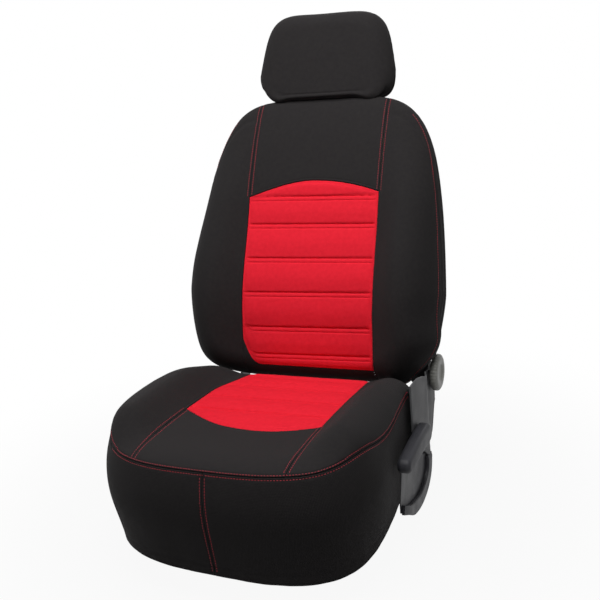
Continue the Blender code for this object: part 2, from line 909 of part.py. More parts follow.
def rails(floor, carriage):
    """Lower rails on floor bars, with the upper rails that slide in them and brackets."""
    half = RAIL_WIDE / 2.0
    inner = half - RAIL_WALL
    low = FOOT
    high = FOOT + RAIL_HIGH
    mouth = 7.5
    lower = [(-half, low), (half, low), (half, high), (mouth, high)]
    lower += [(mouth, high - RAIL_WALL), (inner, high - RAIL_WALL), (inner, low + RAIL_WALL)]
    lower += [(-x, z) for x, z in lower[:1:-1]]
    flange = low + RAIL_WALL + GAP
    run = inner - GAP
    neck = mouth - 2.0
    upper = [(-run, flange), (run, flange), (run, flange + 4.0), (neck, flange + 4.0)]
    upper += [(neck, CARRIAGE_TOP - 4.0), (18.0, CARRIAGE_TOP - 4.0), (18.0, CARRIAGE_TOP)]
    upper += [(-x, z) for x, z in upper[:1:-1]]
    for name, y in (("front", RAIL_FRONT), ("rear", RAIL_REAR - FLOOR_BAR)):
        wide = RAIL_X + half + 4.0
        base = Vector((-wide, y, 0.0))
        slab(f"floor_bar_{name}", base, Vector((wide, y + FLOOR_BAR, FOOT - GAP)), floor, steel)
    for name, side in SIDES.items():
        at = side * RAIL_X
        section = [(at + x, z) for x, z in lower]
        beam(f"lower_rail_{name}", [section], RAIL_FRONT, RAIL_REAR, floor, steel)
        section = [(at + x, z) for x, z in upper]
        beam(f"upper_rail_{name}", [section], CARRIAGE_FRONT, CARRIAGE_REAR, carriage, steel)
        base = CARRIAGE_TOP + GAP
        start = FRONT_LINK_Y - 18.0
        end = REAR_LINK_Y + 18.0
        outline = [(start, base), (end, base)]
        outline += arc(REAR_LINK_Y, LINK_Z, 14.0, 0.0, 150.0)
        outline += [(REAR_LINK_Y - 30.0, base + 10.0), (FRONT_LINK_Y + 30.0, base + 10.0)]
        outline += arc(FRONT_LINK_Y, LINK_Z, 14.0, 30.0, 180.0)
        holes = [circle(y, LINK_Z, LINK_TUBE + GAP) for y in (FRONT_LINK_Y, REAR_LINK_Y)]
        edges = sorted((side * (RAIL_X - BRACKET_T / 2.0), side * BRACKET_OUT))
        plate(f"link_bracket_{name}", [outline] + holes, *edges, carriage, steel)


def link_top(y):
    """Upper pivot of a lift arm whose lower pivot is at y."""
    return y - LINK * math.cos(LINK_ANGLE), LINK_Z + LINK * math.sin(LINK_ANGLE)


def lift(front, rear):
    """Lift arms on their torsion tubes."""
    for body, name, y in ((front, "front", FRONT_LINK_Y), (rear, "rear", REAR_LINK_Y)):
        span = ARM_OUT - GAP
        tubes(
            f"{name}_lift_tube",
            [[(-span, y, LINK_Z), (span, y, LINK_Z)]],
            LINK_TUBE,
            body,
            steel,
            3,
        )
        top_y, top_z = link_top(y)
        lean = math.degrees(LINK_ANGLE)
        outline = arc(y, LINK_Z, 13.0, -90.0 - lean, 90.0 - lean)
        outline += arc(top_y, top_z, 12.0, 90.0 - lean, 270.0 - lean)
        holes = [circle(y, LINK_Z, LINK_TUBE + GAP), circle(top_y, top_z, LINK_PIN + GAP)]
        for place, side in SIDES.items():
            edges = sorted((side * ARM_IN, side * ARM_OUT))
            plate(f"{name}_lift_arm_{place}", [outline] + holes, *edges, body, steel)


def seat_frame(body):
    """Side members, pan, rear tube, suspension wires, lift pins and recliner discs."""
    hinge = on_back(0.0, HINGE_UP, HINGE_BACK)
    low = LINK_Z + LINK * math.sin(LINK_ANGLE) - 12.0
    front_y = link_top(FRONT_LINK_Y)[0]
    rear_y = link_top(REAR_LINK_Y)[0]
    outline = [(75.0, PAN_Z - 44.0), (75.0, PAN_Z), (REAR_TUBE_Y - 6.0, PAN_Z)]
    outline += [(REAR_TUBE_Y + 40.0, PAN_Z + 30.0)]
    outline += arc(hinge.y, hinge.z, BOSS, 200.0, -30.0, 14)
    outline += [(REAR_TUBE_Y + 62.0, PAN_Z - 40.0), (rear_y + 40.0, low + 12.0)]
    outline += [(rear_y + 14.0, low), (rear_y - 14.0, low), (rear_y - 30.0, low + 9.0)]
    outline += [(front_y + 30.0, low + 9.0), (front_y + 14.0, low), (front_y - 14.0, low)]
    holes = [circle(*link_top(y), LINK_PIN + GAP) for y in (FRONT_LINK_Y, REAR_LINK_Y)]
    holes.append(circle(hinge.y, hinge.z, SHAFT + GAP))
    disc = arc(hinge.y, hinge.z, BOSS, 0.0, 345.0, 23)
    for name, side in SIDES.items():
        edges = sorted((side * MEMBER_IN, side * MEMBER_OUT))
        plate(f"seat_member_{name}", [outline] + holes, *edges, body, steel)
        edges = sorted((side * RECLINER_IN, side * RECLINER_OUT))
        plate(f"recliner_{name}", [disc, holes[2]], *edges, body, steel)
    for name, y in (("front", FRONT_LINK_Y), ("rear", REAR_LINK_Y)):
        top = link_top(y)
        end = MEMBER_OUT + 5.0
        tubes(f"{name}_lift_pin", [[(-end, *top), (end, *top)]], LINK_PIN, body, steel, 3)
    span = MEMBER_IN - GAP
    tube_z = PAN_Z - REAR_TUBE - GAP
    tubes(
        "seat_rear_tube",
        [[(-span, REAR_TUBE_Y, tube_z), (span, REAR_TUBE_Y, tube_z)]],
        REAR_TUBE,
        body,
        steel,
        3,
    )

    def pan_face(x, y, depth=0.0):
        return Vector((x, y, PAN_Z - depth - 36.0 * smooth((110.0 - y) / 32.0)))

    panel(
        "seat_pan",
        (4, 8),
        lambda u, v: (mix(-span, span, u), mix(78.0, PAN_REAR, v**2)),
        pan_face,
        lambda x, y: pan_face(x, y, 2.0),
        body,
        steel,
    )
    wire = 2.0
    run = []
    for k in range(14):
        x = mix(-140.0, 140.0, k / 13.0)
        ends = [PAN_REAR + GAP + wire, REAR_TUBE_Y - 8.4 - wire]
        for y in ends if k % 2 else ends[::-1]:
            run.append((x, y, PAN_Z - wire - GAP))
    tubes("seat_spring", [run], wire, body, steel, 1)


def back_frame(body):
    """Backrest side members, cross tubes, suspension wires and headrest guides."""
    top = BACK_TOP - 79.0
    outline = [(top, 68.0), (top, 92.0), (300.0, 98.0), (HINGE_UP + 38.0, 108.0)]
    for k in range(13):
        turn = math.radians(mix(50.0, 310.0, k / 12.0))
        place = (HINGE_UP + (BOSS - 1.0) * math.cos(turn), HINGE_BACK + (BOSS - 1.0) * math.sin(turn))
        outline.append(place)
    outline.append((HINGE_UP + 38.0, 66.5))
    edge = [tuple(on_back(0.0, s, b).yz) for s, b in outline]
    hinge = on_back(0.0, HINGE_UP, HINGE_BACK)
    hole = circle(hinge.y, hinge.z, SHAFT + GAP)
    for name, side in SIDES.items():
        edges = sorted((side * BACK_MEMBER_IN, side * (BACK_MEMBER_IN + BACK_MEMBER_T)))
        plate(f"back_member_{name}", [edge, hole], *edges, body, steel)
    span = BACK_MEMBER_IN - GAP
    tube = 9.0
    back = HEAD_RIM + SLEEVE + GAP + tube
    for name, s, b, radius in (
        ("back_top_tube", top - 37.0, back, tube),
        ("back_low_tube", HINGE_UP + 40.0, 92.0, 11.0),
    ):
        ends = [on_back(-span, s, b), on_back(span, s, b)]
        tubes(name, [ends], radius, body, steel, 3)
    wire = 2.0
    run = []
    for k in range(12):
        s = mix(BACK_MID - 80.0, BACK_MID + 190.0, k / 11.0)
        for x in (-1.0, 1.0) if k % 2 else (1.0, -1.0):
            run.append(on_back(x * (span - wire), s, BACK_RIM + 2.0 + GAP + wire))
    tubes("back_spring", [run], wire, body, steel, 1)
    bore = (ROD + GAP) / math.cos(math.pi / 16.0)
    head = BACK_TOP + GAP
    profile = [(bore, head + 9.0), (15.0, head + 9.0), (17.0, head + 7.0), (17.0, head)]
    profile += [(SLEEVE, head), (SLEEVE, top - 47.0), (bore, top - 47.0)]
    up = on_back(0.0, 1.0, 0.0) - on_back(0.0, 0.0, 0.0)
    for name, side in SIDES.items():
        axis = (on_back(side * ROD_X, 0.0, HEAD_RIM), up)
        sleeve = turned(f"headrest_guide_{name}", profile, axis, body, plastic, 16)
        if name == "right":
            ends = [on_back(ROD_X + 8.2, *button_line()), on_back(ROD_X + 30.0, *button_line())]
            cut(sleeve, tubes("button_pocket", [ends], BUTTON + GAP, body, plastic, 3))


def button_line():
    """Place up and back of the lock button's sliding line."""
    return BACK_TOP + GAP + 4.5, HEAD_RIM


def trims(body, lever, wheel):
    """Side trims on posts, lower lip, height lever, handwheel and its cross shaft."""
    hinge = on_back(0.0, HINGE_UP, HINGE_BACK)
    for name, side in SIDES.items():

        def trim_face(y, v, depth=0.0, side=side):
            z = mix(trim_bottom(y), trim_top(y, side), v)
            return Vector((side * (trim_out(y) - depth), y, z))

        trim = panel(
            f"side_trim_{name}",
            (20, 3),
            lambda u, v: (mix(TRIM_FRONT, TRIM_REAR, u), v),
            trim_face,
            lambda y, v, face=trim_face: face(y, v, TRIM_T),
            body,
            plastic,
        )
        if name == "right":
            ends = [(TRIM_OUT - 60.0, hinge.y, hinge.z), (TRIM_OUT + 40.0, hinge.y, hinge.z)]
            cut(trim, tubes("shaft_hole", [ends], SHAFT + 3.0, body, plastic, 3))
        y = 530.0
        z = PAN_Z + 18.0
        inner = trim_out(y) - TRIM_T - GAP
        ends = [(side * (MEMBER_OUT + GAP), y, z), (side * inner, y, z)]
        tubes(f"trim_post_{name}", [ends], 8.0, body, plastic, 2)
    start = trim_bottom(470.0) - GAP
    lip = [(468.0, start), (461.0, start - 34.0), (430.0, start - 56.0)]
    lip += [(380.0, start - 64.0), (325.0, start - 54.0), (268.0, start - 24.0)]

    def lip_place(t, v):
        k = min(int(t * 5.0), 4)
        a = Vector(lip[k])
        b = Vector(lip[k + 1])
        here = a.lerp(b, t * 5.0 - k)
        before = Vector(lip[max(k - 1, 0)]) if t * 5.0 - k < 0.5 else a
        after = Vector(lip[min(k + 2, 5)]) if t * 5.0 - k > 0.5 else b
        along = (after - before).normalized()
        if t < 1e-6:
            along = Vector((0.0, -1.0))
        out = Vector((-along.y, along.x))
        if v > 0.4:
            here += out * mix(-LIP_HALF, LIP_HALF, (v - 0.5) * 2.0)
            return here.x, here.y, True
        # The web fills the space between the lip and the trim, back from their outer faces
        here -= out * (LIP_HALF + 1.0)
        if v < 0.1:
            under = trim_bottom(max(here.x, TRIM_FRONT)) + 8.0
            here.y = mix(here.y + 2.0, under, smooth((here.x - 325.0) / 30.0))
        return here.x, here.y, False

    def lip_face(y, z, rim):
        return Vector((TRIM_OUT if rim else TRIM_OUT - LIP_SINK, y, z))

    def lip_inside(y, z, rim):
        web = TRIM_OUT - LIP_SINK - LIP_WEB
        return Vector((SEAT_HALF + LIP_CLEAR if rim else web, y, z))

    panel("side_lip", (5, 4), lip_place, lip_face, lip_inside, body, plastic)
    hub = 20.0
    tip = 15.0
    outline = arc(LEVER_Y, LEVER_Z, hub, -90.0, 90.0, 8)
    outline += [(LEVER_Y - 70.0, LEVER_Z + hub - 1.0)]
    outline += arc(LEVER_Y - LEVER_LONG + tip, LEVER_Z - 3.0, tip, 100.0, 260.0, 8)
    outline += [(LEVER_Y - 70.0, LEVER_Z - hub + 2.0)]
    inner = trim_out(LEVER_Y) + GAP
    plate("height_lever", [outline], inner, inner + LEVER_T, lever, plastic)
    wheel_in = TRIM_OUT - TRIM_STEP + 5.0
    axis = (Vector((wheel_in, hinge.y, hinge.z)), (1.0, 0.0, 0.0))
    profile = [(0.0, WHEEL_T - 3.0), (16.0, WHEEL_T - 3.0), (20.0, WHEEL_T), (WHEEL - 6.0, WHEEL_T)]
    profile += [(WHEEL, WHEEL_T - 5.0), (WHEEL, 3.0), (WHEEL - 3.0, 0.0), (0.0, 0.0)]
    turned("recline_wheel", profile, axis, wheel, grey_plastic, 32)
    left = -(BACK_MEMBER_IN + BACK_MEMBER_T + 1.0)
    ends = [(left, hinge.y, hinge.z), (wheel_in - GAP, hinge.y, hinge.z)]
    tubes("recline_shaft", [ends], SHAFT, wheel, steel, 3)


def small_moving(release, button):
    """Slide release bar and headrest lock button."""
    bar = 5.0
    z = CARRIAGE_TOP + GAP + bar
    back = CARRIAGE_FRONT - 5.0 + 8.0
    front = back - 175.0
    wide = RAIL_X - 8.0
    path = [(-wide, back, z), (-wide, front + 20.0, z), (-wide + 20.0, front, z)]
    path += [(wide - 20.0, front, z), (wide, front + 20.0, z), (wide, back, z)]
    tubes("slide_release_bar", [path], bar, release, steel, 2)
    ends = [on_back(ROD_X + 12.0, *button_line()), on_back(ROD_X + 21.0, *button_line())]
    tubes("headrest_button", [ends], BUTTON, button, plastic, 3)


def build():
    """Make every body with its pieces, then stand the seat over the origin."""
    hinge = on_back(0.0, HINGE_UP, HINGE_BACK)
    floor = Body("floor", (0.0, 0.0, 0.0))
    slide_z = CARRIAGE_TOP / 2.0
    carriage = Body("carriage", (0.0, CARRIAGE_FRONT, slide_z), floor)
    front = Body("front_lift", (0.0, FRONT_LINK_Y, LINK_Z), carriage)
    rear = Body("rear_lift", (0.0, REAR_LINK_Y, LINK_Z), carriage)
    release_y = CARRIAGE_FRONT + 3.0
    release = Body("release", (0.0, release_y, CARRIAGE_TOP + GAP + 5.0), carriage)
    seat = Body("seat", (0.0, *link_top(FRONT_LINK_Y)), front)
    back = Body("backrest", (0.0, hinge.y, hinge.z), seat)
    wheel = Body("wheel", (TRIM_OUT, hinge.y, hinge.z), seat)
    lever = Body("lever", (trim_out(LEVER_Y), LEVER_Y, LEVER_Z), seat)
    head = Body("headrest", on_back(0.0, BACK_TOP, HEAD_RIM), back)
    button = Body("button", on_back(ROD_X + 17.0, *button_line()), back)
    rails(floor, carriage)
    lift(front, rear)
    seat_frame(seat)
    seat_covers(seat)
    seat_fixings(seat)
    back_frame(back)
    back_covers(back)
    foams(seat, back)
    head_parts(head)
    trims(seat, lever, wheel)
    small_moving(release, button)
    stand_over_origin(floor)


def stand_over_origin(floor):
    """Put the middle of the seat's footprint over the origin, its feet on the floor."""
    bpy.context.view_layer.update()
    corners = []
    for obj in home.objects:
        if obj.type == "MESH":
            corners += [obj.matrix_world @ Vector(c) for c in obj.bound_box]
    for axis in range(3):
        low = min(c[axis] for c in corners)
        high = max(c[axis] for c in corners)
        floor.empty.location[axis] -= low if axis == 2 else (low + high) / 2.0


for old in list(bpy.data.objects):
    bpy.data.objects.remove(old)
home = bpy.data.collections.new("seat_cover_set")
bpy.context.scene.collection.children.link(home)
cutters = bpy.data.collections.new("cutters")
bpy.context.scene.collection.children.link(cutters)
black_cloth = finish_material("black_cloth", (0.022, 0.021, 0.023), 0.85)
red_cloth = finish_material("red_cloth", (0.74, 0.03, 0.055), 0.8)
foam_pad = finish_material("foam", (0.72, 0.66, 0.5), 0.95)
steel = finish_material("painted_steel", (0.03, 0.03, 0.032), 0.5, 0.6)
chrome = finish_material("chromed_steel", (0.8, 0.8, 0.82), 0.1, 1.0)
plastic = finish_material("dark_plastic", (0.06, 0.06, 0.062), 0.55)
grey_plastic = finish_material("grey_plastic", (0.33, 0.33, 0.31), 0.5)
elastic = finish_material("elastic", (0.02, 0.02, 0.02), 0.9)
build()
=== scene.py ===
"""A front seat in its sewn cover set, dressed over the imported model.

Sizes are millimetres in the seat's own frame: X across, Y from the cushion's front edge
to the rear, Z up from the floor. A mesh is turned into metres when its piece is settled.
"""

import logging
import math
from abc import ABC, abstractmethod
from collections.abc import Callable, Sequence
from dataclasses import dataclass, field
from enum import Enum
from functools import lru_cache

import bmesh
import bpy
import numpy as np
from mathutils import Matrix, Vector, kdtree, noise
from mathutils.bvhtree import BVHTree


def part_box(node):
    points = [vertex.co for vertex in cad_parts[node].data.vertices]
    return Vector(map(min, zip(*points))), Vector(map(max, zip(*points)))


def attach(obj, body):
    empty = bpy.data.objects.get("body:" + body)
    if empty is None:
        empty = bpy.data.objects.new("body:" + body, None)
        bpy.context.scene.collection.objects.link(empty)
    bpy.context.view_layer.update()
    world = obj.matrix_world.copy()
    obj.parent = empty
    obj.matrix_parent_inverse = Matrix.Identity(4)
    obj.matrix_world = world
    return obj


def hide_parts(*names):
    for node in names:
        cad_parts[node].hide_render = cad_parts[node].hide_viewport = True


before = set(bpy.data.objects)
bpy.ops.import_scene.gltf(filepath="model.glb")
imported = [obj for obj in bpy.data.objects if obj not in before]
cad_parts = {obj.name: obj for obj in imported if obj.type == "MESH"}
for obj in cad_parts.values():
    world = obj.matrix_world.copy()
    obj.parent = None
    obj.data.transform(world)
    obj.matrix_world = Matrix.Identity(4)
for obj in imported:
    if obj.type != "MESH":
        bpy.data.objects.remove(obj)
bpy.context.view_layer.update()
LOG = logging.getLogger("seat_cover_set")

Place = tuple[float, ...]
MM = 0.001
GAP = 0.35
COVER = 4.5
EASE = 9.0
SIDES = {"left": -1.0, "right": 1.0}
CUSHION_SEAM = 266.0
PAN_TOP = 152.0
INSERT_HALF = 149.0
RIGHTWARD = Vector((1.0, 0.0, 0.0))
WHITE = (1.0, 1.0, 1.0, 1.0)
# Distance of a topstitched row from its seam
TOPSTITCH = 4.6
# Rows at a sewn edge, measured in from the seam
SEWN = (0.0, 0.5, 1.1, 1.9, 2.9, 3.9, 4.9, 6.2, 8.2, 11.0)


def seat_frame() -> Matrix:
    """Matrix from the seat's millimetres to the model's metres."""
    pan_low, pan_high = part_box("seat_pan")
    rail_low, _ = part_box("lower_rail_left")
    start = Vector(((pan_low.x + pan_high.x) / 2.0, rail_low.y - 175.0 * MM, 0.0))
    return Matrix.Translation(start) @ Matrix.Scale(MM, 4)


TO_MODEL = seat_frame()


def smooth(t: float) -> float:
    """Ease from 0 to 1 while t runs from 0 to 1."""
    t = min(1.0, max(0.0, t))
    return t * t * (3.0 - 2.0 * t)


def mix(a: float, b: float, t: float) -> float:
    """Value at the fraction t of the way from a to b."""
    return a + (b - a) * t


def bell(off: float, wide: float) -> float:
    """1 at 0, falling to nothing over a few widths on either side."""
    return math.exp(-((off / wide) ** 2))


def spread(t: float) -> float:
    """Rows drawn close to both ends."""
    return (1.0 - math.cos(math.pi * t)) / 2.0


def lean_out(t: float) -> float:
    """Rows drawn close to the far end."""
    return math.sin(math.pi * t / 2.0)


def fractions(count: int) -> list[float]:
    """Even fractions from 0 to 1 in count steps."""
    return [k / count for k in range(count + 1)]


def follow(line: Sequence[tuple[float, float]], t: float) -> float:
    """Height of an eased line through a few stations.

    Args:
        line: (place, height) stations in order.
        t: The place asked for.

    Returns:
        The height there.
    """
    for (t0, a), (t1, b) in zip(line, line[1:]):
        if t <= t1:
            return mix(a, b, smooth((t - t0) / (t1 - t0)))
    return line[-1][1]


def stations(length: float, step: float) -> list[float]:
    """Fractions along a length, close together at its sewn ends.

    Args:
        length: The whole length in millimetres.
        step: Spacing away from the ends.

    Returns:
        Fractions from 0 to 1.
    """
    low = list(SEWN)
    high = sorted(length - f for f in SEWN)
    count = max(1, round((high[0] - low[-1]) / step))
    middle = [mix(low[-1], high[0], k / count) for k in range(1, count)]
    return [m / length for m in low + middle + high]


def patch(
    p: float,
    q: float,
    left: Callable[[float], Place],
    right: Callable[[float], Place],
    bottom: Callable[[float], Place],
    top: Callable[[float], Place],
) -> Place:
    """Plan place inside four meeting border lines.

    Args:
        p: Fraction from the left line to the right one.
        q: Fraction from the bottom line to the top one.
        left: Border line, as the three after it.
        right: Border line.
        bottom: Border line.
        top: Border line.

    Returns:
        The place (across, along).
    """
    lines = [
        (1.0 - p, left(q)),
        (p, right(q)),
        (1.0 - q, bottom(p)),
        (q, top(p)),
        (-(1.0 - p) * (1.0 - q), bottom(0.0)),
        (-p * (1.0 - q), bottom(1.0)),
        (-(1.0 - p) * q, top(0.0)),
        (-p * q, top(1.0)),
    ]
    return sum(k * at[0] for k, at in lines), sum(k * at[1] for k, at in lines)


def fillet(path: Sequence[Vector], radius: float, count: int = 6) -> list[Vector]:
    """Path with its corners rounded.

    Args:
        path: Corner points.
        radius: Reach of each rounding along the straights.
        count: Steps in each rounding.

    Returns:
        The rounded path's points.
    """
    points = [path[0]]
    for a, b, c in zip(path, path[1:], path[2:]):
        before = (a - b).normalized() * min(radius, (a - b).length * 0.49)
        after = (c - b).normalized() * min(radius, (c - b).length * 0.49)
        for t in fractions(count):
            first = b + before * (1.0 - t)
            points.append(first.lerp(b + after * t, t))
    return points + [path[-1]]


@dataclass(frozen=True)
class Outline:
    """Rounded closed plan with its own reach and taper up and down."""

    half: float
    mid: float
    up: float
    down: float
    up_power: float
    down_power: float
    taper: float
    down_taper: float = 0.0
    ease: float = 1.0

    def reach(self, x: float, s: float) -> float:
        """0 at the middle, 1 on the outline.

        Args:
            x: Place across.
            s: Place along.

        Returns:
            The fraction of the way out.
        """
        if s >= self.mid:
            t = (s - self.mid) / self.up
            half = self.half * (1.0 - self.taper * t**self.ease)
            power = self.up_power
        else:
            t = (self.mid - s) / self.down
            half = self.half * (1.0 - self.down_taper * t**self.ease)
            power = self.down_power
        return (abs(x / half) ** power + t**power) ** (1.0 / power)

    def search(self, far: float, place: Callable[[float], Place]) -> float:
        """Largest k up to far whose place is inside the outline."""
        near = 0.0
        for _ in range(46):
            k = (near + far) / 2.0
            near, far = (k, far) if self.reach(*place(k)) < 1.0 else (near, k)
        return near

    @lru_cache(maxsize=None)
    def out_to_edge(self, dx: float, ds: float) -> Place:
        """Point on the outline in the direction (dx, ds) from the middle."""
        far = 3.0 * max(self.half, self.up, self.down) / math.hypot(dx, ds)
        k = self.search(far, lambda k: (dx * k, self.mid + ds * k))
        return dx * k, self.mid + ds * k

    def rim(self, degrees: float) -> Place:
        """Point on the outline at an angle from +X about the middle."""
        turn = math.radians(degrees)
        return self.out_to_edge(math.cos(turn), math.sin(turn))

    @lru_cache(maxsize=None)
    def edge(self, x: float, up: bool) -> float:
        """Place along the outline where it crosses x, above or below the middle."""
        sign = 1.0 if up else -1.0
        far = self.up if up else self.down
        return self.mid + sign * self.search(far, lambda k: (x, self.mid + sign * k))

    @lru_cache(maxsize=None)
    def side(self, s: float) -> float:
        """Half width at s."""
        return self.search(2.0 * self.half, lambda k: (k, s))

    def shrink(self, x: float, s: float, depth: float) -> Place:
        """The same place drawn in by depth, all of it at the outline and less inside."""
        depth *= min(1.0, self.reach(x, s)) ** 4
        reach = self.up if s >= self.mid else self.down
        return x * (1.0 - depth / self.half), self.mid + (s - self.mid) * (1.0 - depth / reach)

    def inside(self, x: float, s: float) -> float:
        """Distance in from the outline."""
        return max(0.0, 1.0 - self.reach(x, s)) * self.half

    def rise(self, x: float, s: float, edge: float) -> float:
        """0 on the outline, 1 inside its rounded edge."""
        inside = min(1.0, self.inside(x, s) / edge)
        return math.sqrt(1.0 - (1.0 - inside) ** 2)

    def angle(self, x: float, s: float) -> float:
        """Angle in degrees of a place about the middle."""
        return math.degrees(math.atan2(s - self.mid, x))

    def round_plan(self, u: float, v: float) -> Place:
        """Square grid spread over the whole outline, close together at its edge.

        Args:
            u: Fraction across.
            v: Fraction along.

        Returns:
            The place (across, along).
        """
        a = 2.0 * u - 1.0
        b = 2.0 * v - 1.0
        far = max(abs(a), abs(b))
        if far < 1e-6:
            return 0.0, self.mid
        x, s = self.out_to_edge(a * self.half, b * (self.up if b > 0.0 else self.down))
        k = lean_out(far)
        return x * k, self.mid + (s - self.mid) * k

    def side_plan(
        self,
        inner: float,
        low: float,
        high: float,
        side: float,
        narrow: Callable[[float], float] = lambda s: 0.0,
    ) -> Callable:
        """Plan of a side panel between the insert seam and the outline.

        Args:
            inner: Place across of the insert seam.
            low: Angle of the panel's lower outer corner.
            high: Angle of its upper outer corner.
            side: -1 for the left panel, 1 for the right one.
            narrow: How far the insert seam is drawn in at a place along it.

        Returns:
            A function from fractions (u, v) to a place.
        """
        start = self.edge(inner, False)
        end = self.edge(inner, True)
        first = self.angle(inner, start)
        last = self.angle(inner, end)

        def seam(t: float) -> Place:
            """Place along the insert seam."""
            s = mix(start, end, t)
            return inner - narrow(s), s

        def plan(u: float, v: float) -> Place:
            """Place of a fraction across and along the panel."""
            x, s = patch(
                lean_out(u),
                spread(v),
                seam,
                lambda t: self.rim(mix(low, high, t)),
                lambda t: self.rim(mix(first, low, t)),
                lambda t: self.rim(mix(last, high, t)),
            )
            return side * x, s

        return plan


class Pattern(Enum):
    """What a finish's surface is made of."""

    WEAVE = "crossed threads"
    GRAIN = "moulded grain"
    PEEL = "sprayed paint"
    CELLS = "open cells"
    POLISH = "plated polish"
    TWIST = "twisted yarn"
    RIB = "woven ribs"


def linear(code: str) -> tuple[float, float, float, float]:
    """Linear colour of an sRGB hex code.

    Args:
        code: Six hex digits after a hash sign.

    Returns:
        Red, green, blue and alpha.
    """
    parts = [int(code[k : k + 2], 16) / 255.0 for k in (1, 3, 5)]
    red, green, blue = (
        c / 12.92 if c <= 0.04045 else ((c + 0.055) / 1.055) ** 2.4 for c in parts
    )
    return red, green, blue, 1.0


def add_node(
    tree: bpy.types.NodeTree, kind: str, inputs: dict | None = None, **settings: object
) -> bpy.types.Node:
    """Adds a node with its settings, values and links.

    Args:
        tree: The material's or world's node tree.
        kind: Blender's name of the node.
        inputs: Socket name or number to a value, or to the output linked into it.
        settings: Properties of the node.

    Returns:
        The new node.
    """
    node = tree.nodes.new(kind)
    for key, value in settings.items():
        setattr(node, key, value)
    for key, value in (inputs or {}).items():
        if isinstance(value, bpy.types.NodeSocket):
            tree.links.new(value, node.inputs[key])
        else:
            node.inputs[key].default_value = value
    return node


@dataclass(frozen=True)
class Finish:
    """A real material with its two tones, pattern size and depth in millimetres."""

    name: str
    slot: str
    light: str
    dark: str
    pattern: Pattern
    size: float
    bump: float
    rough: tuple[float, float]
    mottle: float = 45.0
    metallic: float = 0.0
    sheen: float = 0.0
    specular: float = 0.5

    def height(self, tree: bpy.types.NodeTree, where: bpy.types.NodeSocket) -> bpy.types.NodeSocket:
        """Adds the surface pattern.

        Args:
            tree: The material's node tree.
            where: Coordinates in metres.

        Returns:
            The pattern's height from 0 to 1.
        """
        # A wave texture repeats every 0.314 of its scaled coordinate
        wave = 0.314 / (self.size * MM)
        if self.pattern in (Pattern.WEAVE, Pattern.RIB, Pattern.TWIST):
            wander = 0.0 if self.pattern is Pattern.RIB else 0.9
            settings = {"Vector": where, "Scale": wave, "Distortion": wander, "Detail": 1.0}
            weft = add_node(tree, "ShaderNodeTexWave", settings, bands_direction="X")
            way = "Y" if self.pattern is Pattern.WEAVE else "DIAGONAL"
            warp = add_node(tree, "ShaderNodeTexWave", settings, bands_direction=way)
            if self.pattern is Pattern.RIB:
                return weft.outputs[1]
            sockets = {0: weft.outputs[1], 1: warp.outputs[1]}
            return add_node(tree, "ShaderNodeMath", sockets, operation="MULTIPLY").outputs[0]
        if self.pattern is Pattern.CELLS:
            settings = {"Vector": where, "Scale": 1.0 / (self.size * MM)}
            return add_node(tree, "ShaderNodeTexVoronoi", settings).outputs["Distance"]
        fine = {"Vector": where, "Scale": 1.0 / (self.size * MM), "Detail": 4.0}
        return add_node(tree, "ShaderNodeTexNoise", fine).outputs[0]

    def material(self) -> bpy.types.Material:
        """The finish as a node material, made once.

        Returns:
            The material.
        """
        found = bpy.data.materials.get(self.name)
        if found:
            return found
        material = bpy.data.materials.new(self.name)
        material.use_nodes = True
        material.diffuse_color = linear(self.light)
        tree = material.node_tree
        tree.nodes.clear()
        coords = add_node(tree, "ShaderNodeTexCoord")
        whole = coords.outputs["Object"]
        where = coords.outputs["UV"] if self.pattern is Pattern.WEAVE else whole
        height = self.height(tree, where)
        patches = {"Vector": whole, "Scale": 1.0 / (self.mottle * MM), "Detail": 3.0}
        cloud = add_node(tree, "ShaderNodeTexNoise", patches).outputs[0]
        blend = {0: height, 1: 0.45, 2: cloud}
        sum_up = add_node(tree, "ShaderNodeMath", blend, operation="MULTIPLY_ADD").outputs[0]
        tone = add_node(
            tree, "ShaderNodeMapRange", {"Value": sum_up, "From Min": 0.3, "From Max": 0.95}
        )
        colours = {0: tone.outputs[0], 6: linear(self.dark), 7: linear(self.light)}
        colour = add_node(tree, "ShaderNodeMix", colours, data_type="RGBA")
        limits = {"Value": cloud, "From Min": 0.3, "From Max": 0.7}
        limits |= {"To Min": self.rough[0], "To Max": self.rough[1]}
        rough = add_node(tree, "ShaderNodeMapRange", limits)
        relief = {"Height": height, "Strength": 1.0, "Distance": self.bump * MM}
        bump = add_node(tree, "ShaderNodeBump", relief)
        shader = add_node(
            tree,
            "ShaderNodeBsdfPrincipled",
            {
                "Base Color": colour.outputs[2],
                "Roughness": rough.outputs[0],
                "Normal": bump.outputs[0],
                "Metallic": self.metallic,
                "Sheen Weight": self.sheen,
                "Sheen Roughness": 0.5,
                "Specular IOR Level": self.specular,
            },
        )
        add_node(tree, "ShaderNodeOutputMaterial", {"Surface": shader.outputs[0]})
        return material

    def dress(self, *nodes: str) -> None:
        """Gives the finish to CAD nodes that stay in view."""
        for name in nodes:
            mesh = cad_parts[name].data
            mesh.materials.clear()
            mesh.materials.append(self.material())
            LOG.info("%s keeps its solid in %s", name, self.name)


# Foam-backed polyester, knitted close: matt black with a soft grey bloom where light rakes
# it. The threads are under 1 mm and drawn at 2.6 mm, so that they show.
BLACK_CLOTH = Finish(
    "knitted_black_polyester", "black_cloth", "#2a2828", "#201e1f", Pattern.WEAVE, 2.6, 0.25,
    (0.78, 0.92), mottle=8.0, sheen=0.02, specular=0.08,
)
# The same cloth in red: saturated, with lighter flecks where the threads rise.
# Its threads are drawn at 2.6 mm too.
RED_CLOTH = Finish(
    "knitted_red_polyester", "red_cloth", "#e52838", "#d81e2e", Pattern.WEAVE, 2.6, 0.25,
    (0.75, 0.9), mottle=8.0, specular=0.06,
)
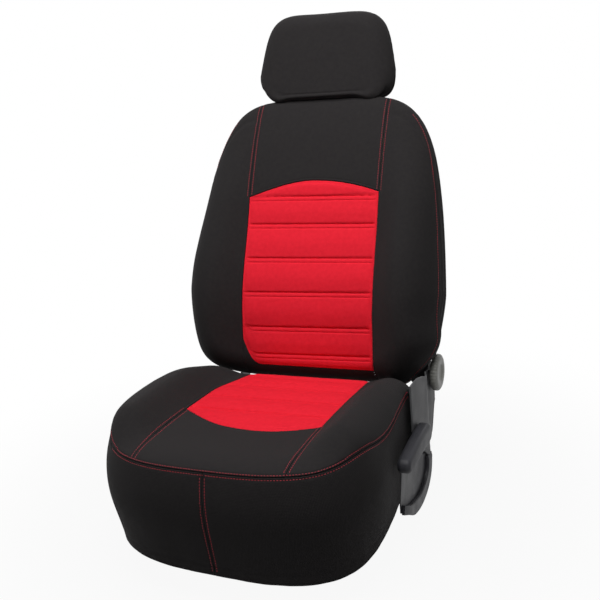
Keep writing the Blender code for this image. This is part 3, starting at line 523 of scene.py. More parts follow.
# Spun polyester thread: a dull dark red row of short raised stitches.
RED_THREAD = Finish(
    "spun_red_thread", "red_cloth", "#a01d2d", "#701521", Pattern.TWIST, 1.2, 0.1, (0.6, 0.75)
)
# Moulded polyurethane foam: pale yellow, open pores.
FOAM = Finish(
    "moulded_seat_foam", "foam", "#d8c68e", "#b59f66", Pattern.CELLS, 3.0, 0.8, (0.9, 1.0)
)
# Pressed steel under sprayed black paint: satin with a faint orange peel.
PAINTED_STEEL = Finish(
    "sprayed_black_steel", "painted_steel", "#333336", "#222225", Pattern.PEEL, 3.5, 0.08,
    (0.34, 0.5), metallic=0.4,
)
# Chromed steel tube: bright, with the faint cloudiness of plating.
CHROME = Finish(
    "chromed_steel_tube", "chromed_steel", "#d4d4d8", "#bcbcc2", Pattern.POLISH, 2.0, 0.01,
    (0.08, 0.18), metallic=1.0,
)
# Moulded polypropylene: dark grey with a fine leather grain.
DARK_PLASTIC = Finish(
    "moulded_dark_polypropylene", "dark_plastic", "#2e2e32", "#222226", Pattern.GRAIN, 1.4, 0.12,
    (0.42, 0.6), specular=0.22,
)
# The side trims' polypropylene: a dusty mid grey with the same grain.
TRIM_PLASTIC = Finish(
    "moulded_grey_polypropylene", "dark_plastic", "#545456", "#444446", Pattern.GRAIN, 1.6, 0.14,
    (0.5, 0.68), specular=0.25,
)
# Moulded ABS of the handwheel: pale warm grey, slightly glossy.
PALE_PLASTIC = Finish(
    "moulded_pale_abs", "grey_plastic", "#8f8f8a", "#77776f", Pattern.GRAIN, 1.4, 0.06, (0.36, 0.5)
)
# Woven elastic: black ribs across a flat band.
ELASTIC = Finish(
    "woven_black_elastic", "elastic", "#242426", "#131314", Pattern.RIB, 2.4, 0.3, (0.8, 0.92)
)


def link_new(name: str, data: bpy.types.ID) -> bpy.types.Object:
    """New object with its data, linked into the scene."""
    obj = bpy.data.objects.new(name, data)
    bpy.context.scene.collection.objects.link(obj)
    return obj


def settle(
    bm: bmesh.types.BMesh,
    name: str,
    body: str,
    finish: Finish,
    nodes: Sequence[str] = (),
    sharp: float = 38.0,
) -> bpy.types.Object:
    """Writes a mesh drawn in the seat's millimetres as a piece that rides on a body.

    Args:
        bm: The finished mesh, which is freed.
        name: The piece's name.
        body: The CAD body that carries it.
        finish: Its material.
        nodes: The CAD nodes that it stands for.
        sharp: Angle in degrees past which an edge stays hard.

    Returns:
        The new object.
    """
    bmesh.ops.transform(bm, matrix=TO_MODEL, verts=bm.verts[:])
    bmesh.ops.recalc_face_normals(bm, faces=bm.faces[:])
    if bm.calc_volume(signed=True) < 0.0:
        bmesh.ops.reverse_faces(bm, faces=bm.faces[:])
    mesh = bpy.data.meshes.new(name)
    bm.to_mesh(mesh)
    bm.free()
    mesh.shade_smooth()
    mesh.set_sharp_from_angle(angle=math.radians(sharp))
    mesh.materials.append(finish.material())
    obj = link_new(name, mesh)
    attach(obj, body)
    if nodes:
        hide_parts(*nodes)
    LOG.info("%s: %d faces on %s", name, len(mesh.polygons), body)
    return obj


def round_bar(
    name: str,
    body: str,
    finish: Finish,
    node: str,
    path: Sequence[Vector],
    radius: float,
) -> None:
    """Round bar or wire along a path, with closed ends.

    Args:
        name: The piece's name.
        body: The CAD body that carries it.
        finish: Its material.
        node: The CAD node that it stands for.
        path: Points along its middle.
        radius: Its radius.
    """
    curve = bpy.data.curves.new(name, "CURVE")
    curve.dimensions = "3D"
    curve.bevel_depth = radius
    curve.bevel_resolution = 4
    curve.use_fill_caps = True
    spline = curve.splines.new("POLY")
    spline.points.add(len(path) - 1)
    for point, place in zip(spline.points, path):
        point.co = (*place, 1.0)
    draft = link_new(name + "_draft", curve)
    view = bpy.context.evaluated_depsgraph_get()
    mesh = bpy.data.meshes.new_from_object(draft.evaluated_get(view))
    bm = bmesh.new()
    bm.from_mesh(mesh)
    bpy.data.objects.remove(draft)
    bpy.data.curves.remove(curve)
    bpy.data.meshes.remove(mesh)
    bmesh.ops.remove_doubles(bm, verts=bm.verts[:], dist=0.001)
    settle(bm, name, body, finish, [node])


def turn_profile(profile: Sequence[Place], steps: int) -> bmesh.types.BMesh:
    """Solid turned about Z from a (radius, along) profile.

    Args:
        profile: Points in order, closed where none lies on the axis.
        steps: Steps round the axis.

    Returns:
        The turned mesh.
    """
    bm = bmesh.new()
    verts = [bm.verts.new((r, 0.0, h)) for r, h in profile]
    edges = [bm.edges.new(pair) for pair in zip(verts, verts[1:])]
    if min(r for r, _ in profile) > 0.0:
        edges.append(bm.edges.new((verts[-1], verts[0])))
    bmesh.ops.spin(
        bm,
        geom=verts + edges,
        cent=(0.0, 0.0, 0.0),
        axis=(0.0, 0.0, 1.0),
        angle=2.0 * math.pi,
        steps=steps,
        use_merge=True,
    )
    bmesh.ops.remove_doubles(bm, verts=bm.verts[:], dist=0.001)
    return bm


def stand(bm: bmesh.types.BMesh, base: Vector, direction: Vector) -> None:
    """Puts a turned mesh on an axis given by its base and direction."""
    turn = Vector((0.0, 0.0, 1.0)).rotation_difference(direction).to_matrix().to_4x4()
    bmesh.ops.transform(bm, matrix=Matrix.Translation(base) @ turn, verts=bm.verts[:])


@dataclass
class Panel:
    """A padded sheet: a grid laid out by a plan, shaped by its outer and inner faces."""

    name: str
    body: str
    finish: Finish
    node: str | None
    us: list[float]
    vs: list[float]
    plan: Callable[[float, float], Place]
    outer: Callable[..., Vector]
    inner: Callable[..., Vector]
    roll: float = 1.8
    topstitch: float = 0.0
    pucker: float = 0.35
    wander: float = 0.5
    relief: Callable[..., float] | None = None
    hold: float = 0.0
    fill: float | None = 0.6
    sharp: float = 70.0
    tree: BVHTree | None = field(default=None, init=False)

    def seam(self, spot: Vector, off: float) -> float:
        """Height of the cloth near its border.

        Args:
            spot: Place in the seat's frame.
            off: Distance to the border.

        Returns:
            How far the cloth stands out there, below 0 at the seam.
        """
        height = self.wander * noise.noise(spot / 70.0) * (1.0 - bell(off, 30.0))
        if off < self.roll:
            height -= self.roll - math.sqrt(self.roll**2 - (self.roll - off) ** 2)
        if self.topstitch:
            height -= self.topstitch * bell(off - TOPSTITCH, 1.4)
        return height + self.pucker * noise.noise(spot / 9.0) * bell(off - 6.0, 9.0)

    def lay_cloth(self, bm: bmesh.types.BMesh, spots: np.ndarray, grid: dict) -> None:
        """Lays the cloth's own UV map, in metres along the grid's lines.

        Args:
            bm: The panel's grid.
            spots: Places of the grid's points, row by row.
            grid: Vertex to its (row, column).
        """
        across = np.linalg.norm(np.diff(spots, axis=1), axis=2).cumsum(axis=1)
        along = np.linalg.norm(np.diff(spots, axis=0), axis=2).cumsum(axis=0)
        across = np.pad(across, ((0, 0), (1, 0))) * MM
        along = np.pad(along, ((1, 0), (0, 0))) * MM
        across -= across[:, [across.shape[1] // 2]]
        along -= along[[along.shape[0] // 2], :]
        layer = bm.loops.layers.uv.new("cloth")
        for face in bm.faces:
            for loop in face.loops:
                row, column = grid[loop.vert]
                loop[layer].uv = (across[row, column], along[row, column])

    def build(self) -> None:
        """Makes the panel and keeps its surface for stitching."""
        bm = bmesh.new()
        wide = len(self.us) - 1
        high = len(self.vs) - 1
        bmesh.ops.create_grid(bm, x_segments=wide, y_segments=high, size=0.5)
        number = bm.verts.layers.int.new("number")
        places = []
        grid = {}
        spots = np.zeros((high + 1, wide + 1, 3))
        for vert in bm.verts:
            column = round((vert.co.x + 0.5) * wide)
            row = round((vert.co.y + 0.5) * high)
            place = self.plan(self.us[column], self.vs[row])
            vert[number] = len(places)
            places.append(place)
            grid[vert] = (row, column)
            vert.co = self.outer(*place)
            spots[row, column] = vert.co
        self.lay_cloth(bm, spots, grid)
        bm.normal_update()
        border = [v for v in bm.verts if v.is_boundary]
        near = kdtree.KDTree(len(border))
        for k, vert in enumerate(border):
            near.insert(vert.co, k)
        near.balance()
        facing = sum(v.normal.dot(v.co - self.inner(*places[v[number]])) for v in bm.verts)
        sign = 1.0 if facing > 0.0 else -1.0
        moves = []
        for vert in bm.verts:
            off = near.find(vert.co)[2]
            height = self.seam(vert.co, off)
            if self.relief:
                held = smooth(off / self.hold) if self.hold else 1.0
                height += held * self.relief(*places[vert[number]])
            moves.append(vert.normal * sign * height)
        for vert, move in zip(bm.verts, moves):
            vert.co += move
        self.tree = BVHTree.FromBMesh(bm)
        made = bmesh.ops.extrude_face_region(bm, geom=bm.faces[:])
        for vert in made["geom"]:
            if isinstance(vert, bmesh.types.BMVert):
                vert.co = self.inner(*places[vert[number]])
        nodes = [self.node] if self.node else []
        obj = settle(bm, self.name, self.body, self.finish, nodes, self.sharp)


# Settings of a stiff moulded shell, and of a quilted insert
MOULDED = {"pucker": 0.0, "wander": 0.0, "fill": None, "sharp": 50.0}
QUILTED = {"topstitch": 0.4, "hold": 13.0}


def foam_pad(
    node: str,
    body: str,
    plan: Callable[[float, float], Place],
    outer: Callable[..., Vector],
    inner: Callable[..., Vector],
    count: int = 56,
    wander: float = 0.3,
) -> None:
    """Foam under a cover, with plain edges.

    Args:
        node: The CAD node that it stands for.
        body: The CAD body that carries it.
        plan: Its plan.
        outer: Its face under the cover.
        inner: Its other face.
        count: Steps across and along.
        wander: Unevenness of its face.
    """
    steps = fractions(count)
    settings = {"outer": outer, "inner": inner, "roll": 0.0, "pucker": 0.0, "wander": wander}
    Panel(f"{node}_pad", body, FOAM, node, steps, steps, plan, **settings).build()


@dataclass
class Stitching:
    """Rows of raised thread on one body's panels."""

    name: str
    body: str
    panels: list[Panel]
    pitch: float = 5.4
    long: float = 4.0
    thick: float = 1.9
    bm: bmesh.types.BMesh = field(default_factory=bmesh.new, init=False)

    def on_cloth(self, spot: Vector) -> tuple[Vector, Vector]:
        """Nearest place on the panels and the way out of the cloth there.

        Args:
            spot: A place close to the cloth.

        Returns:
            The place and its normal.
        """
        found = [p.tree.find_nearest(spot) for p in self.panels]
        place, normal, _, _ = min(found, key=lambda hit: hit[3])
        return place, normal

    def sew(self, guide: Sequence[Vector]) -> None:
        """Sews one row of stitches along a guide line.

        Args:
            guide: Points along the row, close to the cloth.
        """
        lengths = [0.0]
        for a, b in zip(guide, guide[1:]):
            lengths.append(lengths[-1] + (b - a).length)
        count = int(lengths[-1] / self.pitch)
        at = 0
        for k in range(count):
            goal = (k + 0.5) * self.pitch
            while lengths[at + 1] < goal:
                at += 1
            t = (goal - lengths[at]) / (lengths[at + 1] - lengths[at])
            place, out = self.on_cloth(guide[at].lerp(guide[at + 1], t))
            along = (guide[at + 1] - guide[at]).normalized()
            along = (along - out * along.dot(out)).normalized()
            across = out.cross(along)
            axes = (across * self.thick / 2.0, out * self.thick / 2.2, along * self.long / 2.0)
            matrix = Matrix.Translation(place) @ Matrix(axes).transposed().to_4x4()
            bmesh.ops.create_uvsphere(
                self.bm, u_segments=6, v_segments=4, radius=1.0, matrix=matrix
            )

    def finish(self) -> None:
        """Writes all rows as one piece."""
        settle(self.bm, self.name, self.body, RED_THREAD, sharp=180.0)


@dataclass(frozen=True)
class Quilt:
    """Twin-needle channels across a padded insert."""

    centres: tuple[float, ...]
    pitch: float
    twin: float = 4.7
    groove: float = 2.6
    puff: float = 2.6
    lower: float = 0.6
    spacing: float = 5.5
    least: float = 0.3

    def rows(self, start: float, end: float) -> list[float]:
        """Row places with many rows at each channel.

        Args:
            start: First row.
            end: Last row.

        Returns:
            Row places in order.
        """
        offs = (0.0, 1.2, 2.4, 3.3, 4.0, 4.7, 5.4, 6.1, 7.2, 9.0, 12.0, 16.0)
        wanted = {start + f for f in SEWN} | {end - f for f in SEWN}
        for centre in self.centres:
            wanted |= {centre + o for o in offs} | {centre - o for o in offs}
        wanted = sorted(w for w in wanted if start <= w <= end)
        rows = [start]
        for row in wanted[1:]:
            count = max(1, round((row - rows[-1]) / self.spacing))
            before = rows[-1]
            if row - before > self.least or row == end:
                rows += [mix(before, row, k / count) for k in range(1, count + 1)]
        return rows

    def height(self, x: float, place: float) -> float:
        """Height of the quilting at a place.

        Args:
            x: Place across.
            place: Place along the insert.

        Returns:
            Height, below 0 in the stitched lines.
        """
        off = min((place - c for c in self.centres), key=abs)
        lines = 1.2 * bell(off - self.twin, 2.0) + self.lower * bell(off + self.twin, 1.2)
        drawn = 1.0 + 0.3 * noise.noise(Vector((x / 7.0, place / 30.0, 0.0)))
        swell = math.sin(math.pi / 2.0 * min(1.0, abs(off) / (self.pitch / 2.0))) ** 2
        return self.puff * swell - self.groove * lines * drawn - 0.7 * bell(off, 8.0)


@dataclass
class SewnCover(ABC):
    """Panels of one cover on its body, kept for the stitching."""

    body: str
    panels: list[Panel] = field(default_factory=list, init=False)

    @abstractmethod
    def face(self, x: float, s: float, depth: float = 0.0, draw: float = 0.0) -> Vector:
        """Outside of the cover, or a depth under it."""

    def add(
        self,
        name: str,
        finish: Finish,
        us: list[float],
        vs: list[float],
        plan: Callable[..., Place],
        **more: object,
    ) -> None:
        """Builds one panel of the cover.

        Args:
            name: The panel's name, and its CAD node unless more gives another.
            finish: Its cloth.
            us: Fractions across.
            vs: Fractions along.
            plan: Its plan.
            more: Further settings of the panel.
        """
        settings = {"node": name, "outer": self.face}
        settings |= {"inner": lambda x, s: self.face(x, s, COVER)} | more
        panel = Panel(f"{name}_cloth", self.body, finish, us=us, vs=vs, plan=plan, **settings)
        panel.build()
        self.panels.append(panel)


@dataclass
class CushionCover(SewnCover):
    """Cushion cover over its foam: insert, front panel, bolsters, skirt and fixings."""

    body: str = "seat"
    half: float = 262.0
    mid: float = 260.0
    front: float = 275.0
    rear: float = 222.0
    edge: float = 55.0
    seam: float = CUSHION_SEAM
    crown: float = 13.0
    fall: float = 24.0
    bolster: float = 38.0
    hem: float = 62.0
    hem_askew: float = 10.0
    hem_rise: float = 32.0
    belly: float = 14.0
    skirt_end: float = 392.0
    tuck: float = 365.0
    full: float = 7.0
    insert_half: float = INSERT_HALF
    insert_front: float = 142.0
    insert_bow: float = 48.0
    channel: float = 73.0
    pan: float = PAN_TOP
    cord: float = 2.5
    straps: tuple[float, float] = (184.9, 324.0)
    strap_half: float = 8.0
    hem_band: float = 20.0

    def __post_init__(self) -> None:
        """Makes the plan's outline and the insert's channels."""
        self.plan = Outline(self.half, self.mid, self.rear, self.front, 9.0, 3.2, 0.046)
        start = self.insert_front + self.insert_bow
        centres = tuple(start + self.channel * (k + 0.4) for k in range(4))
        self.quilt = Quilt(centres, self.channel, groove=3.0, puff=3.4, lower=0.9)

    def seam_height(self, x: float, y: float) -> float:
        """Height of the edge seam along the cushion's side, lower on the right."""
        rise = 18.0 * smooth((y - 10.0) / 120.0) - 14.0 * smooth((y - 250.0) / 150.0)
        tucked = smooth((y - self.tuck) / (self.mid + self.rear - self.tuck))
        low = 24.0 * smooth((x - 110.0) / 110.0) * bell(y - 215.0, 110.0)
        return self.seam + rise - 48.0 * tucked - low

    def hem_height(self, x: float, y: float) -> float:
        """Height of the skirt's hem, lower at the front on the right."""
        askew = self.hem_askew * x / self.half * (1.0 - smooth((y - 40.0) / 120.0))
        return self.hem - askew + self.hem_rise * smooth((y - 90.0) / 230.0)

    def fuller(self, x: float) -> float:
        """0 to 1 over the left side, where the cover is fuller."""
        return smooth((-x - self.insert_half) / (self.half - self.insert_half))

    def face(self, x: float, y: float, depth: float = 0.0, draw: float = 0.0) -> Vector:
        """Cushion top: seam height at the outline, crown and bolsters inside it.

        Args:
            x: Place across.
            y: Place along.
            depth: How deep under the cover's outside.
            draw: How much further in at the outline.

        Returns:
            The place in the seat's frame.
        """
        back = max(0.0, (y - 110.0) / 360.0)
        crown = self.seam + self.crown - self.fall * back**1.6
        along = smooth((y - 20.0) / 100.0) * (1.0 - 0.55 * smooth((y - 300.0) / 160.0))
        bolster = self.bolster * along * smooth((abs(x) - self.insert_half + 9.0) / 70.0)
        bolster += self.full * along * smooth((-x - self.insert_half) / 60.0)
        seam = self.seam_height(x, y)
        z = seam + (crown + bolster - depth - seam) * self.plan.rise(x, y, self.edge)
        out = self.full * self.fuller(x)
        x, y = self.plan.shrink(x, y, depth + draw)
        return Vector((x - out, y, z))

    def wall(self, x: float, y: float, level: float, depth: float = 0.0) -> Vector:
        """Skirt wall: level 0 at the hem and 1 at the edge seam.

        Args:
            x: Place across on the outline.
            y: Place along on the outline.
            level: Fraction of the way up.
            depth: How deep under the skirt's outside.

        Returns:
            The place in the seat's frame.
        """
        z = mix(self.hem_height(x, y), self.seam_height(x, y) - 2.0 * GAP, level)
        swell = self.belly * (1.0 - smooth((y - 120.0) / 150.0)) * math.sin(math.pi * level**1.5)
        out = (self.full + 6.0 * bell(level - 0.3, 0.25)) * self.fuller(x)
        x, y = self.plan.shrink(x, y, depth - swell)
        return Vector((x - out, y, z))

    def skirt_line(self, t: float, side: float) -> Place:
        """Plan place along one half of the skirt, from its centre seam to its rear end."""
        end = self.plan.angle(self.plan.side(self.skirt_end), self.skirt_end)
        x, y = self.plan.rim(mix(-90.0 + math.degrees(GAP / self.front), end, t))
        return side * x, y

    def bow(self, x: float) -> float:
        """Front edge of the insert, further forward on the right than on the left."""
        ahead = 14.0 * smooth((x + 60.0) / 160.0) - 16.0 * smooth((-x - 30.0) / 119.0)
        return self.insert_front + self.insert_bow * (x / self.insert_half) ** 2 - ahead

    def narrow(self, y: float) -> float:
        """How far the insert's left seam draws in towards the rear."""
        return 26.0 * smooth((y - 320.0) / 150.0)

    def build_insert(self) -> None:
        """Red quilted insert, its rows bent to the bowed front edge."""
        half = self.insert_half - GAP
        last = self.mid + self.rear
        level = self.insert_front + 92.0
        rows = self.quilt.rows(self.insert_front, last)

        def plan(u: float, row: float) -> Place:
            """Place of a fraction across and a row."""
            x = mix(self.narrow(row) - half, half, u)
            if row < level:
                start = self.bow(x) + GAP
                return x, mix(level, start, (level - row) / (level - self.insert_front))
            end = self.plan.edge(x, True)
            return x, row - (last - end) * smooth((row - 400.0) / (last - 400.0))

        us = stations(2.0 * half, 5.0)
        self.add("seat_insert", RED_CLOTH, us, rows, plan, relief=self.quilt.height, **QUILTED)

    def build_front(self) -> None:
        """Black panel from the insert's bowed edge to the front seam."""
        half = self.insert_half - GAP

        def plan(u: float, v: float) -> Place:
            """Place of a fraction across and towards the front."""
            x = mix(-half, half, u)
            return x, mix(self.bow(x) - GAP, self.plan.edge(x, False), lean_out(v))

        us = stations(2.0 * half, 5.0)
        vs = stations(190.0, 4.0)
        self.add("seat_front_panel", BLACK_CLOTH, us, vs, plan, topstitch=0.8)

    def build_bolsters(self) -> None:
        """Black side panels with raised bolsters."""
        us = stations(180.0, 4.0)
        vs = stations(720.0, 5.0)
        for side, sign in SIDES.items():
            narrow = self.narrow if sign < 0.0 else lambda y: 0.0
            plan = self.plan.side_plan(self.insert_half + GAP, -40.0, 36.0, sign, narrow)
            self.add(f"seat_bolster_{side}", BLACK_CLOTH, us, vs, plan, topstitch=0.8)

    def hem_relief(self, x: float, y: float, level: float) -> float:
        """Stitched hem band, and slack cloth that pulls in over the elastic."""
        up = level * (self.seam_height(x, y) - self.hem_height(x, y))
        slack = noise.noise(Vector((x / 26.0, y / 26.0, up / 90.0)))
        return 0.9 * slack * bell(up, 45.0) - 0.9 * bell(up - self.hem_band, 1.8)

    def build_skirts(self) -> None:
        """Two skirt halves, joined at the centre-front seam."""
        us = stations(610.0, 5.0)
        vs = stations(204.0, 4.5)
        for side, sign in SIDES.items():
            self.add(
                f"seat_skirt_{side}",
                BLACK_CLOTH,
                us,
                vs,
                lambda u, v, sign=sign: (*self.skirt_line(u, sign), v),
                outer=self.wall,
                inner=lambda x, y, level: self.wall(x, y, level, COVER),
                relief=self.hem_relief,
                topstitch=0.8,
                wander=1.3,
                fill=0.4,
            )

    def build_foam(self) -> None:
        """Cushion foam, flat where it rests on the pan."""
        inner = COVER + EASE

        def top(x: float, y: float) -> Vector:
            """Upper face of the foam."""
            loose = max(smooth((abs(x) - 60.0) / 70.0), smooth((200.0 - y) / 60.0))
            loose = max(loose, smooth((y - 390.0) / 50.0))
            return self.face(x, y, mix(COVER + 2.0 * GAP, inner, loose), EASE)

        def base(x: float, y: float) -> Vector:
            """Lower face of the foam."""
            x, y = self.plan.shrink(x, y, inner + EASE)
            return Vector((x, y, self.pan + GAP))

        foam_pad("seat_foam", self.body, self.plan.round_plan, top, base)

    def build_fixings(self) -> None:
        """Elastic in the hem, and the straps that draw the hem together."""
        inset = COVER + GAP + self.cord
        path = []
        for sign in (-1.0, 1.0):
            run = []
            for t in fractions(72):
                x, y = self.skirt_line(t, sign)
                level = self.hem_height(x, y) + self.cord + 1.0
                spot = Vector((*self.plan.shrink(x, y, inset), level))
                run.append(spot - Vector((self.full * self.fuller(x), 0.0, 0.0)))
            path += run[::-1] if sign < 0.0 else run
        round_bar("hem_elastic_cord", self.body, ELASTIC, "hem_elastic", path, self.cord)
        for name, y in zip(("under_strap_front", "under_strap_rear"), self.straps):
            wide = min(self.plan.side(y - self.strap_half), self.plan.side(y + self.strap_half))
            end = self.plan.shrink(wide, y, inset)[0] - self.cord - GAP
            level = self.hem_height(0.0, y) + self.cord + 2.0
            bm = bmesh.new()
            bmesh.ops.create_grid(bm, x_segments=120, y_segments=4, size=0.5)
            for vert in bm.verts:
                x = vert.co.x * 2.0 * end
                ripple = 0.25 * noise.noise(Vector((x / 40.0, y, 0.0)))
                out = self.full * self.fuller(x)
                vert.co = (x - out, y + vert.co.y * 2.0 * self.strap_half, level + ripple)
            bmesh.ops.solidify(bm, geom=bm.faces[:], thickness=1.4)
            settle(bm, f"{name}_webbing", self.body, ELASTIC, [name])

    def sew(self) -> None:
        """Red topstitching along the front seams, the edge seam and the skirt's centre."""
        rows = Stitching("seat_stitching", self.body, self.panels)
        rim = [self.plan.rim(mix(-205.0, 25.0, t)) for t in fractions(260)]
        for lift in (4.8, -5.4):
            edge = [Vector((x, y, self.seam_height(x, y) + lift)) for x, y in rim]
            if lift < 0.0:
                edge = [spot for spot in edge if spot.y < self.skirt_end - 3.0]
            rows.sew(edge)
        seams = (-self.insert_half, self.insert_half)
        for x in (seam + off for seam in seams for off in (-TOPSTITCH, TOPSTITCH)):
            start = self.bow(max(-self.insert_half, min(self.insert_half, x))) - 3.0
            end = self.plan.edge(x, False) + 2.0
            rows.sew([self.face(x, mix(start, end, lean_out(t))) for t in fractions(40)])
        for x in (-4.8, 4.8):
            y = self.plan.edge(x, False)
            rows.sew([self.wall(x, y, mix(0.96, 0.03, t)) for t in fractions(40)])
        rows.finish()

    def build(self) -> None:
        """Builds the cover, its foam and fixings, and sews it."""
        self.build_insert()
        self.build_front()
        self.build_bolsters()
        self.build_skirts()
        self.sew()
        self.build_foam()
        self.build_fixings()


@dataclass(frozen=True)
class BackFrame:
    """Axes of the backrest: across, up the back and towards the rear."""

    y: float = 456.0
    z: float = 199.7
    recline: float = math.radians(17.3)
    top: float = 672.0
    head_rim: float = 80.0
    rod_x: float = 70.0
    hinge_up: float = 72.0
    hinge_deep: float = 88.5

    def at(self, x: float, s: float, b: float) -> Vector:
        """Place in the seat's frame."""
        sin, cos = math.sin(self.recline), math.cos(self.recline)
        return Vector((x, self.y + s * sin + b * cos, self.z + s * cos - b * sin))

    def up(self) -> Vector:
        """Direction up the back."""
        return self.at(0.0, 1.0, 0.0) - self.at(0.0, 0.0, 0.0)

    def hinge(self) -> Vector:
        """Middle of the recliner axis."""
        return self.at(0.0, self.hinge_up, self.hinge_deep)


BACK = BackFrame()


@dataclass
class BackrestCover(SewnCover):
    """Backrest cover over its foam: insert, yoke, bolsters and rear panel."""

    body: str = "backrest"
    half: float = 288.0
    mid: float = 240.0
    up: float = 432.0
    down: float = 196.0
    rim: float = 60.0
    rear: float = 122.0
    edge: float = 75.0
    rear_edge: float = 50.0
    hem: float = 118.0
    lumbar: float = 24.0
    bolster: float = 40.0
    lean: float = 28.0
    insert_half: float = INSERT_HALF
    insert_top: float = 482.0
    insert_arch: float = 26.0
    insert_right: float = 153.0
    foot: float = 73.0
    channel: float = 75.0
    channels: tuple[float, ...] = (442.0, 381.0, 306.0, 231.0, 155.0, 95.0)
    gusset: float = 24.0
    full: float = 11.0

    def __post_init__(self) -> None:
        """Makes the plan's outline and the insert's channels."""
        self.plan = Outline(self.half, self.mid, self.up, self.down, 5.0, 5.5, 0.13, 0.1, 1.35)
        self.quilt = Quilt(self.channels, self.channel)

    def front(self, x: float, s: float) -> float:
        """Depth of the front: lumbar bulge, lean at the top and side bolsters."""
        along = 1.0 - 0.9 * smooth((s - 300.0) / 280.0)
        bolster = self.bolster * along * smooth((abs(x) - self.insert_half + 12.0) / 75.0)
        lean = self.lean * smooth((s - 430.0) / 230.0)
        return lean - self.lumbar * bell(s - 230.0, 130.0) - bolster

    def face(self, x: float, s: float, depth: float = 0.0, draw: float = 0.0) -> Vector:
        """Front of the backrest, from the side seam to the insert.

        Args:
            x: Place across.
            s: Place up the back.
            depth: How deep under the cover's outside.
            draw: How much further in at the outline.

        Returns:
            The place in the seat's frame.
        """
        rim = self.rim - GAP
        b = rim + (self.front(x, s) + depth - rim) * self.plan.rise(x, s, self.edge)
        out = self.fuller(x, s)
        # On the right the padding rolls out in front of the handwheel
        ahead = smooth((50.0 - b) / 12.0)
        out -= 13.0 * bell(s - 135.0, 43.0) * ahead * smooth((x - 170.0) / 70.0)
        droop = 12.0 * bell(x - 212.0, 24.0) * smooth((120.0 - s) / 50.0) * ahead
        x, s = self.plan.shrink(x, s, depth + draw)
        return BACK.at(x - out, s - droop, b)

    def rear_face(self, x: float, s: float, depth: float = 0.0) -> Vector:
        """Rear of the backrest, from the side seam to its flat middle."""
        rim = self.rim + GAP
        b = rim + (self.rear - depth - rim) * self.plan.rise(x, s, self.rear_edge)
        out = self.fuller(x, s)
        x, s = self.plan.shrink(x, s, depth)
        return BACK.at(x - out, s, b)

    def fuller(self, x: float, s: float) -> float:
        """How far the fuller left side stands out, most at its foot.

        Args:
            x: Place across.
            s: Place up the back.

        Returns:
            Distance outwards on the left, 0 on the right.
        """
        lower = self.full * smooth((470.0 - s) / 200.0) + 4.0 * bell(s - 80.0, 40.0)
        upper = 3.0 * bell(s - 600.0, 70.0)
        left = (-x - self.insert_half) / (0.8 * self.half - self.insert_half)
        return (lower - upper) * smooth(left)

    def arch(self, x: float) -> float:
        """Upper edge of the insert, a little lower on the left."""
        drop = 9.0 * smooth(-x / self.insert_half)
        return self.insert_top - self.insert_arch * (x / self.insert_half) ** 2 - drop

    def foot_line(self, x: float) -> float:
        """Lower edge of the insert, rounded up at its left corner."""
        corner = min(1.0, max(0.0, (-x - 109.0) / 40.0))
        return self.foot + 58.0 * corner**2.4

    def across(self, u: float) -> float:
        """Place across between the two long seams of the insert."""
        return mix(GAP - self.insert_half, self.insert_right - GAP, u)

    def build_insert(self) -> None:
        """Red quilted insert, its rows bent to the arched top and the rounded foot."""
        level = self.insert_top - 54.0
        low = self.foot + 140.0
        rows = self.quilt.rows(self.foot, self.insert_top)

        def plan(u: float, row: float) -> Place:
            """Place of a fraction across and a row."""
            x = self.across(u)
            if row > level:
                end = self.arch(x) - GAP
                return x, mix(level, end, (row - level) / (self.insert_top - level))
            start = self.foot_line(x) + GAP
            bent = 1.0 - smooth((row - self.foot) / (low - self.foot))
            return x, row + (start - self.foot) * bent

        us = stations(2.0 * self.insert_half, 5.0)

        def relief(x: float, s: float) -> float:
            """Quilting, its lower channels a little higher on the right."""
            return self.quilt.height(x, s - 0.018 * x * smooth((430.0 - s) / 250.0))

        self.add("back_insert", RED_CLOTH, us, rows, plan, relief=relief, **QUILTED)

    def build_painted_shade_band(self) -> None:
        """Black cloth under the insert, tucked behind the cushion: painted shade where the red runs
        into the shadowed crevice.
        """

        def plan(u: float, v: float) -> Place:
            """Place of a fraction across and up, the sides close against the bolsters."""
            x = mix(-self.insert_half - 0.3, self.insert_right + 0.3, u)
            return x, mix(self.plan.edge(x, False), self.foot_line(x) - GAP, v)

        us = stations(2.0 * self.insert_half, 6.0)
        vs = stations(46.0, 4.0)
        # Painted shade: black cloth takes the place of the insert's red down in the crevice above
        # the cushion, where shadow falls
        self.add("back_painted_shade_band", BLACK_CLOTH, us, vs, plan, node=None, roll=0.4)

    def build_yoke(self) -> None:
        """Black panel from the insert's arch to the top seam."""

        def plan(u: float, v: float) -> Place:
            """Place of a fraction across and up."""
            x = self.across(u)
            return x, mix(self.arch(x) + GAP, self.plan.edge(x, True), lean_out(v))

        us = stations(2.0 * self.insert_half, 5.0)
        vs = stations(250.0, 4.5)
        self.add("back_yoke", BLACK_CLOTH, us, vs, plan, topstitch=0.8)

    def gusset_relief(self, x: float, s: float) -> float:
        """Seam of the side gusset, drawn in and slightly puckered."""
        rim = self.rim - GAP
        off = (rim - self.front(x, s)) * self.plan.rise(x, s, self.edge) - self.gusset
        pull = noise.noise(Vector((0.0, s / 11.0, x / 80.0)))
        ease = smooth((s - 40.0) / 60.0) * smooth((650.0 - s) / 30.0)
        return ease * (0.8 * pull * bell(off, 11.0) - 1.5 * bell(off, 2.6))

    def build_bolsters(self) -> None:
        """Black side panels with raised bolsters and a gusset seam."""
        us = stations(210.0, 3.6)
        vs = stations(900.0, 5.5)
        for side, sign in SIDES.items():
            inner = self.insert_half if sign < 0.0 else self.insert_right
            plan = self.plan.side_plan(inner + GAP, -36.0, 60.0, sign)
            more = {"relief": self.gusset_relief, "topstitch": 0.7}
            self.add(f"back_bolster_{side}", BLACK_CLOTH, us, vs, plan, **more)

